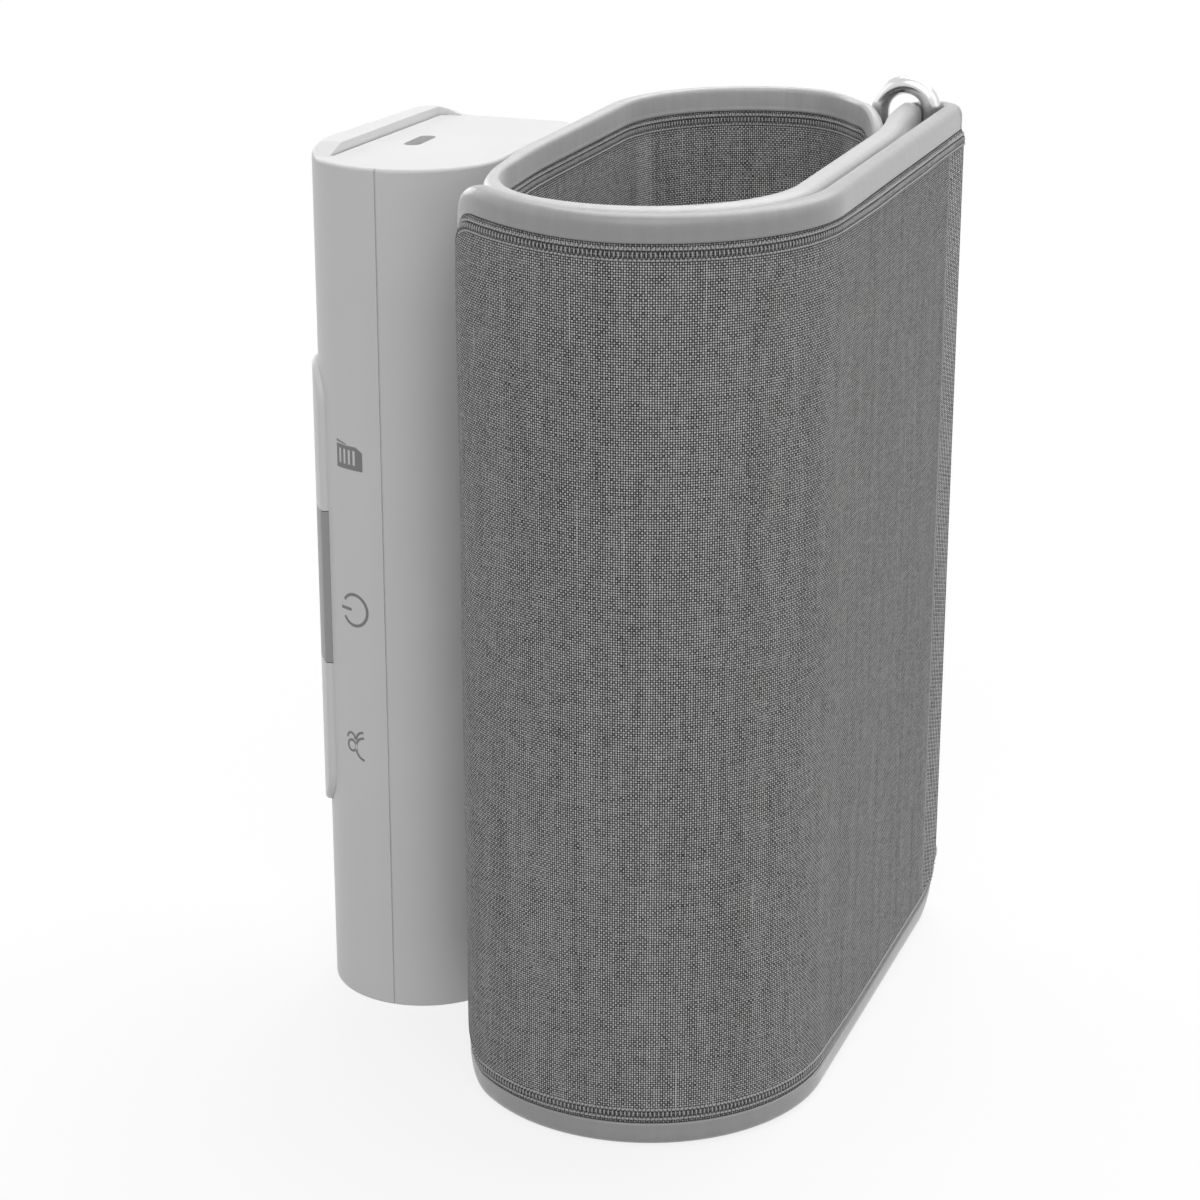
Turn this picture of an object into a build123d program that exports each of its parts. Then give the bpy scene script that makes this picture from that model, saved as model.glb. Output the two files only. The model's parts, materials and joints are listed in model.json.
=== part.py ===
from build123d import *
import os
from math import atan2, cos, degrees, radians, sin, tan

# Arm-in blood pressure monitor, in millimetres.  +Z up, the arm goes in along Z.
# X = 0 is the middle of the case, Y = 0 the plane where its two shells meet, Z = 0 the flat base.
# The display and the buttons are on the -Y side, the cuff stands on the +Y side.

os.makedirs("parts", exist_ok=True)

# ---- driving dimensions: case ----
CASE_H = 142.0              # height of the case without its lip
CASE_FAR_X = -24.2          # flat far side
NOSE = (8.3, -0.6)          # centre of the rounded near side
NOSE_R = 15.6               # radius of the rounded near side
FRONT_SKEW = 5.5            # degrees that the front face leans away from X
FRONT_CORNER_R = 4.5
REAR_CORNER_R = 2.5
WALL = 1.8                  # side walls
FLOOR = 2.0                 # bottom and top walls
EDGE_R = 0.6                # top edge
BASE_EDGE_R = 0.3           # bottom edge
SEAM_W = 0.3                # shadow groove between the shells
SEAM_D = 0.35
TONGUE_T = 0.8              # tongue that locates the shells
TONGUE_H = 1.2
FIT = 0.1                   # clearance of pieces that sit in a pocket

# ---- lip on top of the front shell ----
LIP_H = 1.5
LIP_ROOT = 5.0              # how far the lip's block reaches into the case
LIP_EDGE_R = 2.2
LIP_LINE_NEAR = (18.6, -10.7)
LIP_LINE_FAR = (-22.2, -8.6)
LIP_BAND = 1.3              # width of the lip along the far side
LIP_END_Y = -4.5            # where it runs out on the far side
LIP_RAMP = 4.5              # length of both run-outs
LIP_GROOVE_W = 0.4
LIP_GROOVE_D = 0.9

# ---- buttons ----
PRESS_ANGLE = -71.0         # direction the buttons face, degrees from +X
STRIP_W = 13.8
STRIP_SHARES = (0.223, 0.410, 0.594, 0.7665)    # strip's ends and button joints, of the case's height
STRIP_Z = [CASE_H * share for share in STRIP_SHARES]
BUTTON_NAMES = ("user_button", "power_button", "memory_button")
BUTTON_RISE = 1.0           # how far the buttons stand out of the case
BUTTON_GAP = 0.15
BUTTON_EDGE_R = 0.8         # round of the strip's outline
BUTTON_JOINT_R = 0.12       # where two buttons meet
BUTTON_TRAVEL = 0.5
FLANGE_W = 0.9              # rim that keeps a button in the case
FLANGE_T = 1.1
PRESS_POST_R = 1.5
SWITCH_BOARD_AT = 4.0       # distance of its back from the nose's centre
SWITCH_BOARD_T = 1.0
SWITCH_BOARD_W = 12.0
SWITCH_BOARD_END = 12.0     # how far it runs past the strip
SWITCH_SIZE = 6.0
SWITCH_H = 3.5
PLUNGER_R = 1.7
PLUNGER_H = 0.4
BOARD_BOSS_R = 2.5
BOARD_SCREW_INSET = 5.0

# ---- display ----
DISPLAY_X = -8.0
DISPLAY_TOP = 18.0          # from the case's top to the window's top
DISPLAY_FOOT = 64.0         # from the base to the window's lower edge
WINDOW = (19.0, CASE_H - DISPLAY_TOP - DISPLAY_FOOT)
WINDOW_T = 1.0
WINDOW_CORNER_R = 2.0
WINDOW_LEDGE = 1.2
LCD_MARGIN = 1.2            # how far the panel runs past the window's ends
LCD_T = 2.4
LCD = (20.0, WINDOW[1] + 2 * LCD_MARGIN, LCD_T)
LCD_FRAME_WALL = 1.0
LCD_FRAME_BACK = 1.2

# ---- charging port ----
PORT_AT = (0.0, -2.6)
PORT_SLOT = (8.7, 2.8)
SOCKET = (9.0, 3.2, 7.3)
SOCKET_WALL = 0.3
SOCKET_TONGUE = (6.6, 0.7, 5.0)

# ---- fasteners ----
CASE_SCREW_Z = (10.0, CASE_H - 10.0)
CASE_SCREW_XZ = [(x, z) for x in (-18.5, 11.5) for z in CASE_SCREW_Z]
BOSS_R = 2.7
SCREW_R = 1.0
SCREW_HEAD_R = 1.9
SCREW_HEAD_T = 1.4
SCREW_BITE = 8.0            # length of a screw in the front boss
SCREW_HOLE_FIT = 0.05
BRACKET_SCREW_Z = (8.0, CASE_H - 11.0)
BRACKET_SCREW_XZ = [(x, z) for x in (-9.0, 5.0) for z in BRACKET_SCREW_Z]
BRACKET_SCREW_BITE = 3.0

# ---- main board and what is on it ----
BOARD_Y = -1.0
BOARD_T = 1.2
BOARD_X = (-21.8, 18.0)
BOARD_Z = (66.0, CASE_H - 13.5)
BOARD_TAB_W = 14.0
CHIPS = ((-14.0, 32.0, 8.0), (-2.0, 30.0, 5.0), (8.0, 34.0, 4.0), (10.0, 50.0, 6.0), (-10.0, 50.0, 4.0))
CHIP_T = 1.2
BOARD_POST_X = 15.5
BOARD_POST_Z = (76.0, CASE_H - 22.0)
BOARD_POST_R = 1.8
RAIL_W = 2.6

# ---- battery ----
BATTERY_X = (-18.0, 10.0)
BATTERY_Z = (77.5, CASE_H - 16.0)
BATTERY_Y = 4.2
BATTERY_T = 6.5
BATTERY_CORNER_R = 2.0
BATTERY_RIB_Z = (84.0, CASE_H - 24.0)
RIB_T = 1.6

# ---- pneumatics ----
PUMP_AXIS = (-8.0, 1.0)
PUMP_R = 10.0
MOTOR_Z = (14.0, 40.0)
PUMP_HEAD_TOP = 54.0
SLEEVE_T = 1.0
SLEEVE_Z = (20.0, 38.0)
CRADLE_Z = (24.0, 34.0)
CRADLE_X = (-19.0, 3.4)
CRADLE_Y = 3.0
AIR_Y = 4.0                 # the air line's fittings stand in this plane
NIPPLE_R = 1.5
AIR_BORE_R = 0.8
MANIFOLD_X = (-12.0, 14.0)
MANIFOLD_Z = (58.0, 64.0)
MANIFOLD_D = 6.0
VALVE_X = (6.0, 16.0)
VALVE_Z = (30.0, 50.0)
VALVE_D = 9.0
VALVE_NIPPLE_X = 11.0
VALVE_RIB_Z = (34.0, 44.0)
SENSOR_X = 2.0
SENSOR_Z = (69.0, 76.0)
SENSOR_W = 7.0
SENSOR_T = 5.0
AIR_PORT = (2.0, 61.0)      # X and Z of the tube into the cuff
AIR_TUBE_R = 3.0
AIR_TUBE_FIT = 0.2
AIR_FLANGE_R = 6.0
AIR_FLANGE_T = 1.1
SEAL_R = 0.7
SEAL_RECESS_D = 1.4
MANIFOLD_SPOUT = 3.0

# ---- cuff ----
CUFF_H = 145.0
LOOP_R = 24.35              # centreline of the cuff's round ends
LOOP_FAR_X = -27.5
LOOP_NEAR_X = 26.8
BINDING_T = 3.2
BINDING_H = 4.0
RIM_ROUND = 0.47            # rim radius, as a share of the binding's thickness
COVER_T = 0.7
BLADDER_T = 1.2
LINING_T = 0.7
BLADDER_MARGIN = 9.0        # bladder's distance from the cuff's edges
BRACKET_GAP_Y = 4.3         # from the rear shell to the cuff's binding
BRACKET_X = (-15.5, 8.0)
BRACKET_Z = (5.0, CASE_H - 6.0)
LOOP_START = 141.0          # where the far layer starts, degrees on the far end
LOOP_PAD_T = 0.5
LOOP_PAD_MARGIN = 12.0
LOOP_PAD_START_X = -18.0
LOOP_PAD_END = -38.0

# ---- ring and strap ----
RING_X = -43.7
RING_WIRE_R = 1.5
RING_TOP = 149.4
BAR_GAP = 8.8               # between the axes of the ring's two bars
MOVING_BAR_Y = 70.6
FOLD_R = 3.45               # centreline of the strap round the bar
EASE_X = -22.0              # where the cuff starts to bend towards the ring
EASE_END_X = -42.0
LIFT_START_X = -16.0        # where its lower edge starts to rise
LIFT = 4.8                  # how high it passes through the ring
SLEEVE_WRAP_T = 1.0
RING_FIT = 0.05
RING_SLEEVE_MARGIN = 7.0
TAIL_NEAR_X = 27.1          # centre of the strap's round part
TAIL_R_IN = 26.7
STRAP_T = 2.9
STRAP_FACE = 0.3            # how far the binding stands proud of the fabric
OUTER_T = 1.3               # strap's outer fabric
TAIL_SPLIT = 80.0           # degrees where the strap's end pieces begin
TIP_SPLIT = 10.0
TIP_END = -66.0
TIP_CORNER_R = 12.0
SPLIT_GAP = 0.1             # degrees between the strap's pieces

# ---- values that follow ----
SKEW = radians(FRONT_SKEW)
REAR_Y = NOSE[1] + NOSE_R
BUTTON_PLANE = Plane(
    origin=(*NOSE, 0),
    x_dir=(-sin(radians(PRESS_ANGLE)), cos(radians(PRESS_ANGLE)), 0),
    z_dir=(cos(radians(PRESS_ANGLE)), sin(radians(PRESS_ANGLE)), 0),
)
STRIP_H = STRIP_Z[-1] - STRIP_Z[0]
STRIP_MID = (STRIP_Z[-1] + STRIP_Z[0]) / 2
FLANGE_R = NOSE_R - WALL - SCREW_HOLE_FIT
SWITCH_FACE = SWITCH_BOARD_AT + SWITCH_BOARD_T
PLUNGER_TOP = SWITCH_FACE + SWITCH_H + PLUNGER_H
POST_TIP = PLUNGER_TOP + BUTTON_TRAVEL + SCREW_HOLE_FIT
BOARD_SCREW_Z = (
    STRIP_Z[0] - SWITCH_BOARD_END + BOARD_SCREW_INSET,
    STRIP_Z[-1] + SWITCH_BOARD_END - BOARD_SCREW_INSET,
)
BOARD_BACK = BOARD_Y + BOARD_T
LOOP_REAR_Y = REAR_Y + BRACKET_GAP_Y + BINDING_T / 2
LOOP_MID_Y = LOOP_REAR_Y + LOOP_R
LOOP_FRONT_Y = LOOP_REAR_Y + 2 * LOOP_R
FABRIC_T = COVER_T + BLADDER_T + LINING_T
CUFF_FACE_Y = LOOP_REAR_Y - FABRIC_T / 2
FIXED_BAR_Y = MOVING_BAR_Y - BAR_GAP
ARCH_R = BAR_GAP / 2
THREAD_Y = MOVING_BAR_Y - FOLD_R
TAIL_Y = MOVING_BAR_Y + FOLD_R
TAIL_R = TAIL_R_IN + STRAP_T / 2
TAIL_MID_Y = TAIL_Y - TAIL_R
FABRIC_Z = (BINDING_H, CUFF_H - BINDING_H)
EASE_TURN = 2 * degrees(atan2(LOOP_FRONT_Y - THREAD_Y, EASE_X - EASE_END_X))


# ---- helpers ----
def front_y(x, inset=0.0):
    """Y of the leaning front face, moved in by inset."""
    radius = NOSE_R - inset
    return NOSE[1] - radius * cos(SKEW) + (NOSE[0] - radius * sin(SKEW) - x) * tan(SKEW)


def case_outline(inset=0.0):
    """D-shaped section of the case, drawn in the open sketch."""
    radius = NOSE_R - inset
    far_x = CASE_FAR_X + inset
    with BuildLine() as outline:
        nose = CenterArc(NOSE, radius, -90 - FRONT_SKEW, 180 + FRONT_SKEW)
        rear = Line(nose @ 1, (far_x, NOSE[1] + radius))
        far = Line(rear @ 1, (far_x, front_y(far_x, inset)))
        Line(far @ 1, nose @ 0)
    make_face(outline.edges())
    fillet(vertices().group_by(Axis.X)[0].sort_by(Axis.Y)[0], FRONT_CORNER_R - inset)
    fillet(vertices().group_by(Axis.X)[0].sort_by(Axis.Y)[-1], REAR_CORNER_R - inset)


def case_core(inset, z_low, z_high):
    """Solid block with the case's section."""
    with BuildPart() as core:
        with BuildSketch(Plane.XY.offset(z_low)):
            case_outline(inset)
        extrude(amount=z_high - z_low)
    return core.part


def seam_tongue(clearance):
    """Ring inside the walls that locates the rear shell on the front shell."""
    outer = WALL - TONGUE_T - clearance
    cap = FLOOR - TONGUE_T - clearance
    with BuildPart() as tongue:
        add(case_core(outer, cap, CASE_H - cap))
        add(case_core(WALL, FLOOR, CASE_H - FLOOR), mode=Mode.SUBTRACT)
        with BuildSketch(Plane.XZ):
            with Locations((0, CASE_H / 2)):
                Rectangle(4 * NOSE_R, 2 * CASE_H)
        extrude(amount=-TONGUE_H - clearance, mode=Mode.INTERSECT)
    return tongue.part


def wall_slab(margin, z_low, z_high, r_in, r_out):
    """Piece of a round wall behind the button strip's outline, grown by a margin."""
    with BuildPart() as slab:
        with BuildSketch(BUTTON_PLANE):
            with Locations((0, STRIP_MID)):
                SlotOverall(STRIP_H + 2 * margin, STRIP_W + 2 * margin, rotation=90)
            with Locations((0, (z_low + z_high) / 2)):
                Rectangle(2 * STRIP_W, z_high - z_low, mode=Mode.INTERSECT)
        extrude(amount=2 * NOSE_R)
        with BuildSketch(Plane.XY):
            with Locations(NOSE):
                Circle(r_out)
                Circle(r_in, mode=Mode.SUBTRACT)
        extrude(amount=CASE_H, mode=Mode.INTERSECT)
    return slab.part


def path_plane(path):
    """Plane across a path's start: local x to the left of the path, local y up."""
    along = path % 0
    return Plane(origin=path @ 0, x_dir=(-along.Y, along.X, 0), z_dir=along)


def sheet_along(path, left, thick, z_low, z_high):
    """Upright sheet that follows a path, moved to its left."""
    with BuildPart() as sheet:
        with BuildSketch(path_plane(path)):
            with Locations((left, (z_low + z_high) / 2)):
                Rectangle(thick, z_high - z_low)
        sweep(path=path)
    return sheet.part


def binding_along(path, thick, z_root, z_rim):
    """Edge binding that follows a path, round at its rim."""
    with BuildPart() as binding:
        with BuildSketch(path_plane(path)):
            with Locations((0, (z_root + z_rim) / 2)):
                Rectangle(thick, abs(z_rim - z_root))
            rim = vertices().group_by(Axis.Y)[-1 if z_rim > z_root else 0]
            fillet(rim, thick * RIM_ROUND)
        sweep(path=path)
    return binding.part


def loop_path(start, end_x, through_ring):
    """Centreline of the cuff, from an angle on its far end to its front straight."""
    with BuildLine() as path:
        CenterArc((LOOP_FAR_X, LOOP_MID_Y), LOOP_R, start, 270 - start)
        Line((LOOP_FAR_X, LOOP_REAR_Y), (LOOP_NEAR_X, LOOP_REAR_Y))
        CenterArc((LOOP_NEAR_X, LOOP_MID_Y), LOOP_R, -90, 180)
        Line((LOOP_NEAR_X, LOOP_FRONT_Y), (end_x, LOOP_FRONT_Y))
        if through_ring:
            run = EASE_X - EASE_END_X
            drop = LOOP_FRONT_Y - THREAD_Y
            radius = (run**2 + drop**2) / (4 * drop)
            ease = JernArc((EASE_X, LOOP_FRONT_Y), (-1, 0), radius, EASE_TURN)
            JernArc(ease @ 1, ease % 1, radius, -EASE_TURN)
            Line((EASE_END_X, THREAD_Y), (RING_X, THREAD_Y))
    return path.wires()[0]


def strap_arc(start, end):
    """Part of the strap's round centreline between two angles."""
    with BuildLine() as path:
        CenterArc((TAIL_NEAR_X, TAIL_MID_Y), TAIL_R, start, end - start)
    return path.wires()[0]


def save(built, name):
    """Label a finished piece and write it."""
    built.part.label = name
    export_step(built.part, f"parts/{name}.step")


# ---- front shell ----
with BuildPart() as front_bosses:
    with BuildSketch(Plane.XZ):
        with Locations(*CASE_SCREW_XZ):
            Circle(BOSS_R)
    extrude(amount=2 * NOSE_R)
    with BuildSketch(BUTTON_PLANE.offset(SWITCH_FACE)):
        with Locations(*[(0, z) for z in BOARD_SCREW_Z]):
            Circle(BOARD_BOSS_R)
    extrude(amount=2 * NOSE_R)
    add(case_core(WALL / 2, FLOOR / 2, CASE_H - FLOOR / 2), mode=Mode.INTERSECT)

with BuildPart() as lip:
    add(case_core(0, CASE_H - LIP_ROOT, CASE_H + LIP_H))
    fillet(lip.edges().group_by(Axis.Z)[-1], LIP_EDGE_R)
    with BuildSketch(Plane.XY.offset(CASE_H - LIP_ROOT)):
        with BuildLine():
            Polyline(
                LIP_LINE_NEAR,
                LIP_LINE_FAR,
                (CASE_FAR_X + LIP_BAND, LIP_LINE_FAR[1] + LIP_BAND),
                (CASE_FAR_X + LIP_BAND, 2 * NOSE_R),
                (2 * NOSE_R, 2 * NOSE_R),
                (2 * NOSE_R, LIP_LINE_NEAR[1]),
                close=True,
            )
        make_face()
        with Locations((0, LIP_END_Y)):
            Rectangle(4 * NOSE_R, 4 * NOSE_R, align=(Align.CENTER, Align.MIN))
    extrude(amount=2 * LIP_ROOT, mode=Mode.SUBTRACT)
    near_ramp = Plane(
        origin=(LIP_LINE_NEAR[0] + LIP_H / 2, 0, CASE_H - EDGE_R),
        z_dir=(LIP_H, 0, LIP_RAMP),
        x_dir=(LIP_RAMP, 0, -LIP_H),
    )
    split(bisect_by=near_ramp, keep=Keep.BOTTOM)
    far_ramp = Plane(
        origin=(0, LIP_END_Y, CASE_H),
        z_dir=(0, LIP_H, LIP_RAMP),
        x_dir=(1, 0, 0),
    )
    split(bisect_by=far_ramp, keep=Keep.BOTTOM)

with BuildPart() as front_shell:
    with BuildSketch():
        case_outline()
    extrude(amount=CASE_H)
    fillet(front_shell.edges().group_by(Axis.Z)[-1], EDGE_R)
    fillet(front_shell.edges().group_by(Axis.Z)[0], BASE_EDGE_R)
    add(case_core(WALL, FLOOR, CASE_H - FLOOR), mode=Mode.SUBTRACT)
    split(bisect_by=Plane.XZ, keep=Keep.TOP)
    # lip with its run-outs, and the groove behind it
    with BuildSketch(Plane.XY.offset(CASE_H - EDGE_R)):
        with BuildLine():
            Polyline(
                (LIP_LINE_NEAR[0] - LIP_RAMP, front_y(LIP_LINE_NEAR[0]) * 2),
                (LIP_LINE_NEAR[0] - LIP_RAMP, LIP_LINE_NEAR[1]),
                LIP_LINE_FAR,
                (2 * CASE_FAR_X, LIP_LINE_FAR[1]),
                (2 * CASE_FAR_X, front_y(LIP_LINE_NEAR[0]) * 2),
                close=True,
            )
        make_face()
    extrude(amount=EDGE_R, mode=Mode.SUBTRACT)
    add(lip.part)
    with BuildSketch(Plane.XY.offset(CASE_H - LIP_GROOVE_D)):
        with BuildLine():
            Polyline(
                (LIP_LINE_NEAR[0] - LIP_RAMP / 2, LIP_LINE_NEAR[1]),
                LIP_LINE_FAR,
                (CASE_FAR_X + LIP_BAND, LIP_LINE_FAR[1] + LIP_BAND),
                (CASE_FAR_X + LIP_BAND + LIP_GROOVE_W, LIP_LINE_FAR[1] + LIP_BAND),
                (LIP_LINE_FAR[0] + LIP_GROOVE_W / 2, LIP_LINE_FAR[1] + LIP_GROOVE_W),
                (LIP_LINE_NEAR[0] - LIP_RAMP / 2, LIP_LINE_NEAR[1] + LIP_GROOVE_W),
                close=True,
            )
        make_face()
    extrude(amount=LIP_GROOVE_D, mode=Mode.SUBTRACT)
    add(front_bosses.part)
    add(seam_tongue(0.0))
    # shadow groove of the seam, on both sides
    for side_x in (CASE_FAR_X, NOSE[0] + NOSE_R):
        with BuildSketch(Plane.XY.offset(-CASE_H / 2)):
            with Locations((side_x, 0)):
                Rectangle(2 * SEAM_D, SEAM_W)
        extrude(amount=2 * CASE_H, mode=Mode.SUBTRACT)
    # opening behind the buttons
    with BuildSketch(BUTTON_PLANE.offset(NOSE_R / 2)):
        with Locations((0, STRIP_MID)):
            SlotOverall(STRIP_H, STRIP_W, rotation=90)
    extrude(amount=NOSE_R, mode=Mode.SUBTRACT)
    # display opening with a ledge for the window
    front_plane = Plane(
        origin=(DISPLAY_X, front_y(DISPLAY_X), CASE_H - DISPLAY_TOP - WINDOW[1] / 2),
        x_dir=(cos(SKEW), -sin(SKEW), 0),
        z_dir=(-sin(SKEW), -cos(SKEW), 0),
    )
    with BuildSketch(front_plane.offset(-WINDOW_T)):
        RectangleRounded(WINDOW[0] + 2 * FIT, WINDOW[1] + 2 * FIT, WINDOW_CORNER_R + FIT)
    extrude(amount=2 * WINDOW_T, mode=Mode.SUBTRACT)
    with BuildSketch(front_plane.offset(-2 * WALL)):
        RectangleRounded(WINDOW[0] - 2 * WINDOW_LEDGE, WINDOW[1] - 2 * WINDOW_LEDGE, WINDOW_CORNER_R)
    extrude(amount=4 * WALL, mode=Mode.SUBTRACT)
    # charging slot
    with BuildSketch(Plane.XY.offset(CASE_H - 2 * FLOOR)):
        with Locations(PORT_AT):
            SlotOverall(*PORT_SLOT)
    extrude(amount=4 * FLOOR, mode=Mode.SUBTRACT)
    # pilot holes of the case screws and of the switch board's screws
    with BuildSketch(Plane.XZ.offset(-TONGUE_H)):
        with Locations(*CASE_SCREW_XZ):
            Circle(SCREW_R + SCREW_HOLE_FIT)
    extrude(amount=SCREW_BITE + TONGUE_H + FIT, mode=Mode.SUBTRACT)
    with BuildSketch(BUTTON_PLANE):
        with Locations(*[(0, z) for z in BOARD_SCREW_Z]):
            Circle(SCREW_R + SCREW_HOLE_FIT)
    extrude(amount=SWITCH_FACE + BRACKET_SCREW_BITE + FIT, mode=Mode.SUBTRACT)
save(front_shell, "front_shell")

# ---- rear shell ----
with BuildPart() as rear_inside:
    with BuildSketch(Plane.XZ):
        with Locations(*CASE_SCREW_XZ):
            Circle(BOSS_R)
    extrude(amount=-2 * NOSE_R)
    # posts and rail that carry the main board
    with BuildSketch(Plane.XZ.offset(-BOARD_BACK)):
        with Locations(*[(BOARD_POST_X, z) for z in BOARD_POST_Z]):
            Circle(BOARD_POST_R)
    extrude(amount=-2 * NOSE_R)
    with BuildSketch(Plane.XY.offset(BOARD_Z[0])):
        with Locations((CASE_FAR_X, TONGUE_H + 2 * FIT)):
            Rectangle(2 * (WALL + RAIL_W), RIB_T, align=(Align.CENTER, Align.MIN))
    extrude(amount=BOARD_Z[1] - BOARD_Z[0])
    # ribs under the battery
    for rib_z in BATTERY_RIB_Z:
        with BuildSketch(Plane.XY.offset(rib_z)):
            with Locations((sum(BATTERY_X) / 2, BATTERY_Y + BATTERY_T)):
                Rectangle(BATTERY_X[1] - BATTERY_X[0], NOSE_R, align=(Align.CENTER, Align.MIN))
        extrude(amount=RIB_T)
    # cradle of the pump and ribs behind the valve
    for rib_z in CRADLE_Z:
        with BuildSketch(Plane.XY.offset(rib_z)):
            with Locations((sum(CRADLE_X) / 2, CRADLE_Y)):
                Rectangle(CRADLE_X[1] - CRADLE_X[0], NOSE_R, align=(Align.CENTER, Align.MIN))
            with Locations(PUMP_AXIS):
                Circle(PUMP_R + SLEEVE_T + SCREW_HOLE_FIT, mode=Mode.SUBTRACT)
        extrude(amount=RIB_T)
    for rib_z in VALVE_RIB_Z:
        with BuildSketch(Plane.XY.offset(rib_z)):
            with Locations((sum(VALVE_X) / 2, AIR_Y + VALVE_D / 2)):
                Rectangle(VALVE_X[1] - VALVE_X[0], NOSE_R, align=(Align.CENTER, Align.MIN))
        extrude(amount=RIB_T)
    add(case_core(WALL / 2, FLOOR / 2, CASE_H - FLOOR / 2), mode=Mode.INTERSECT)

with BuildPart() as rear_shell:
    with BuildSketch():
        case_outline()
    extrude(amount=CASE_H)
    fillet(rear_shell.edges().group_by(Axis.Z)[-1], EDGE_R)
    fillet(rear_shell.edges().group_by(Axis.Z)[0], BASE_EDGE_R)
    add(case_core(WALL, FLOOR, CASE_H - FLOOR), mode=Mode.SUBTRACT)
    split(bisect_by=Plane.XZ, keep=Keep.BOTTOM)
    add(seam_tongue(FIT), mode=Mode.SUBTRACT)
    add(rear_inside.part)
    for side_x in (CASE_FAR_X, NOSE[0] + NOSE_R):
        with BuildSketch(Plane.XY.offset(-CASE_H / 2)):
            with Locations((side_x, 0)):
                Rectangle(2 * SEAM_D, SEAM_W)
        extrude(amount=2 * CASE_H, mode=Mode.SUBTRACT)
    # screw holes, with counterbores in the rear face
    with BuildSketch(Plane.XZ.offset(FIT)):
        with Locations(*CASE_SCREW_XZ, *BRACKET_SCREW_XZ):
            Circle(SCREW_R + FIT)
        with Locations(AIR_PORT):
            Circle(AIR_TUBE_R + AIR_TUBE_FIT)
    extrude(amount=-2 * NOSE_R, mode=Mode.SUBTRACT)
    with BuildSketch(Plane.XZ.offset(-REAR_Y + SCREW_HEAD_T + WALL / 2)):
        with Locations(*CASE_SCREW_XZ):
            Circle(SCREW_HEAD_R + FIT)
    extrude(amount=-NOSE_R, mode=Mode.SUBTRACT)
save(rear_shell, "rear_shell")

# ---- screws ----
with BuildPart() as case_screws:
    head_y = REAR_Y - SCREW_HEAD_T - WALL / 2
    with BuildSketch(Plane.XZ.offset(-head_y)):
        with Locations(*CASE_SCREW_XZ):
            Circle(SCREW_HEAD_R)
    extrude(amount=-SCREW_HEAD_T)
    with BuildSketch(Plane.XZ.offset(-head_y)):
        with Locations(*CASE_SCREW_XZ):
            Circle(SCREW_R)
    extrude(amount=head_y + SCREW_BITE)
save(case_screws, "case_screws")

with BuildPart() as bracket_screws:
    inner_y = REAR_Y - WALL
    with BuildSketch(Plane.XZ.offset(-inner_y)):
        with Locations(*BRACKET_SCREW_XZ):
            Circle(SCREW_HEAD_R)
    extrude(amount=SCREW_HEAD_T)
    with BuildSketch(Plane.XZ.offset(-inner_y)):
        with Locations(*BRACKET_SCREW_XZ):
            Circle(SCREW_R)
    extrude(amount=-WALL - BRACKET_SCREW_BITE)
save(bracket_screws, "bracket_screws")

with BuildPart() as board_screws:
    with BuildSketch(BUTTON_PLANE.offset(SWITCH_BOARD_AT)):
        with Locations(*[(0, z) for z in BOARD_SCREW_Z]):
            Circle(SCREW_HEAD_R)
    extrude(amount=-SCREW_HEAD_T)
    with BuildSketch(BUTTON_PLANE.offset(SWITCH_BOARD_AT)):
        with Locations(*[(0, z) for z in BOARD_SCREW_Z]):
            Circle(SCREW_R)
    extrude(amount=SWITCH_BOARD_T + BRACKET_SCREW_BITE)
save(board_screws, "board_screws")

# ---- buttons ----
for place, button_name in enumerate(BUTTON_NAMES):
    low = STRIP_Z[place] + BUTTON_GAP / 2 - (STRIP_W if place == 0 else 0)
    high = STRIP_Z[place + 1] - BUTTON_GAP / 2 + (STRIP_W if place == 2 else 0)
    middle = (STRIP_Z[place] + STRIP_Z[place + 1]) / 2
    with BuildPart() as button:
        add(wall_slab(-BUTTON_GAP, low, high, FLANGE_R - FLANGE_T, NOSE_R + BUTTON_RISE))
        rim_face = button.faces().filter_by(GeomType.CYLINDER).sort_by(Axis.Y)[0]
        outline = [edge for edge in rim_face.edges() if edge.bounding_box().size.Z > BUTTON_GAP]
        fillet(outline, BUTTON_EDGE_R)
        rim_face = button.faces().filter_by(GeomType.CYLINDER).sort_by(Axis.Y)[0]
        fillet([edge for edge in rim_face.edges() if edge.bounding_box().size.Z < BUTTON_GAP], BUTTON_JOINT_R)
        add(wall_slab(FLANGE_W, low, high, FLANGE_R - FLANGE_T, FLANGE_R))
        with BuildSketch(BUTTON_PLANE.offset(POST_TIP)):
            with Locations((0, middle)):
                Circle(PRESS_POST_R)
        extrude(amount=FLANGE_R - FLANGE_T / 2 - POST_TIP)
    save(button, button_name)

# ---- switch board with its key switches ----
with BuildPart() as switch_board:
    with BuildSketch(BUTTON_PLANE.offset(SWITCH_BOARD_AT)):
        with Locations((0, STRIP_MID)):
            Rectangle(SWITCH_BOARD_W, STRIP_H + 2 * SWITCH_BOARD_END)
        with Locations(*[(0, z) for z in BOARD_SCREW_Z]):
            Circle(SCREW_R + FIT, mode=Mode.SUBTRACT)
    extrude(amount=SWITCH_BOARD_T)
save(switch_board, "switch_board")

with BuildPart() as key_switches:
    centres = [(0, (STRIP_Z[n] + STRIP_Z[n + 1]) / 2) for n in range(len(BUTTON_NAMES))]
    with BuildSketch(BUTTON_PLANE.offset(SWITCH_FACE)):
        with Locations(*centres):
            Rectangle(SWITCH_SIZE, SWITCH_SIZE)
    extrude(amount=SWITCH_H)
    with BuildSketch(BUTTON_PLANE.offset(SWITCH_FACE)):
        with Locations(*centres):
            Circle(PLUNGER_R)
    extrude(amount=SWITCH_H + PLUNGER_H)
save(key_switches, "key_switches")

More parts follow.
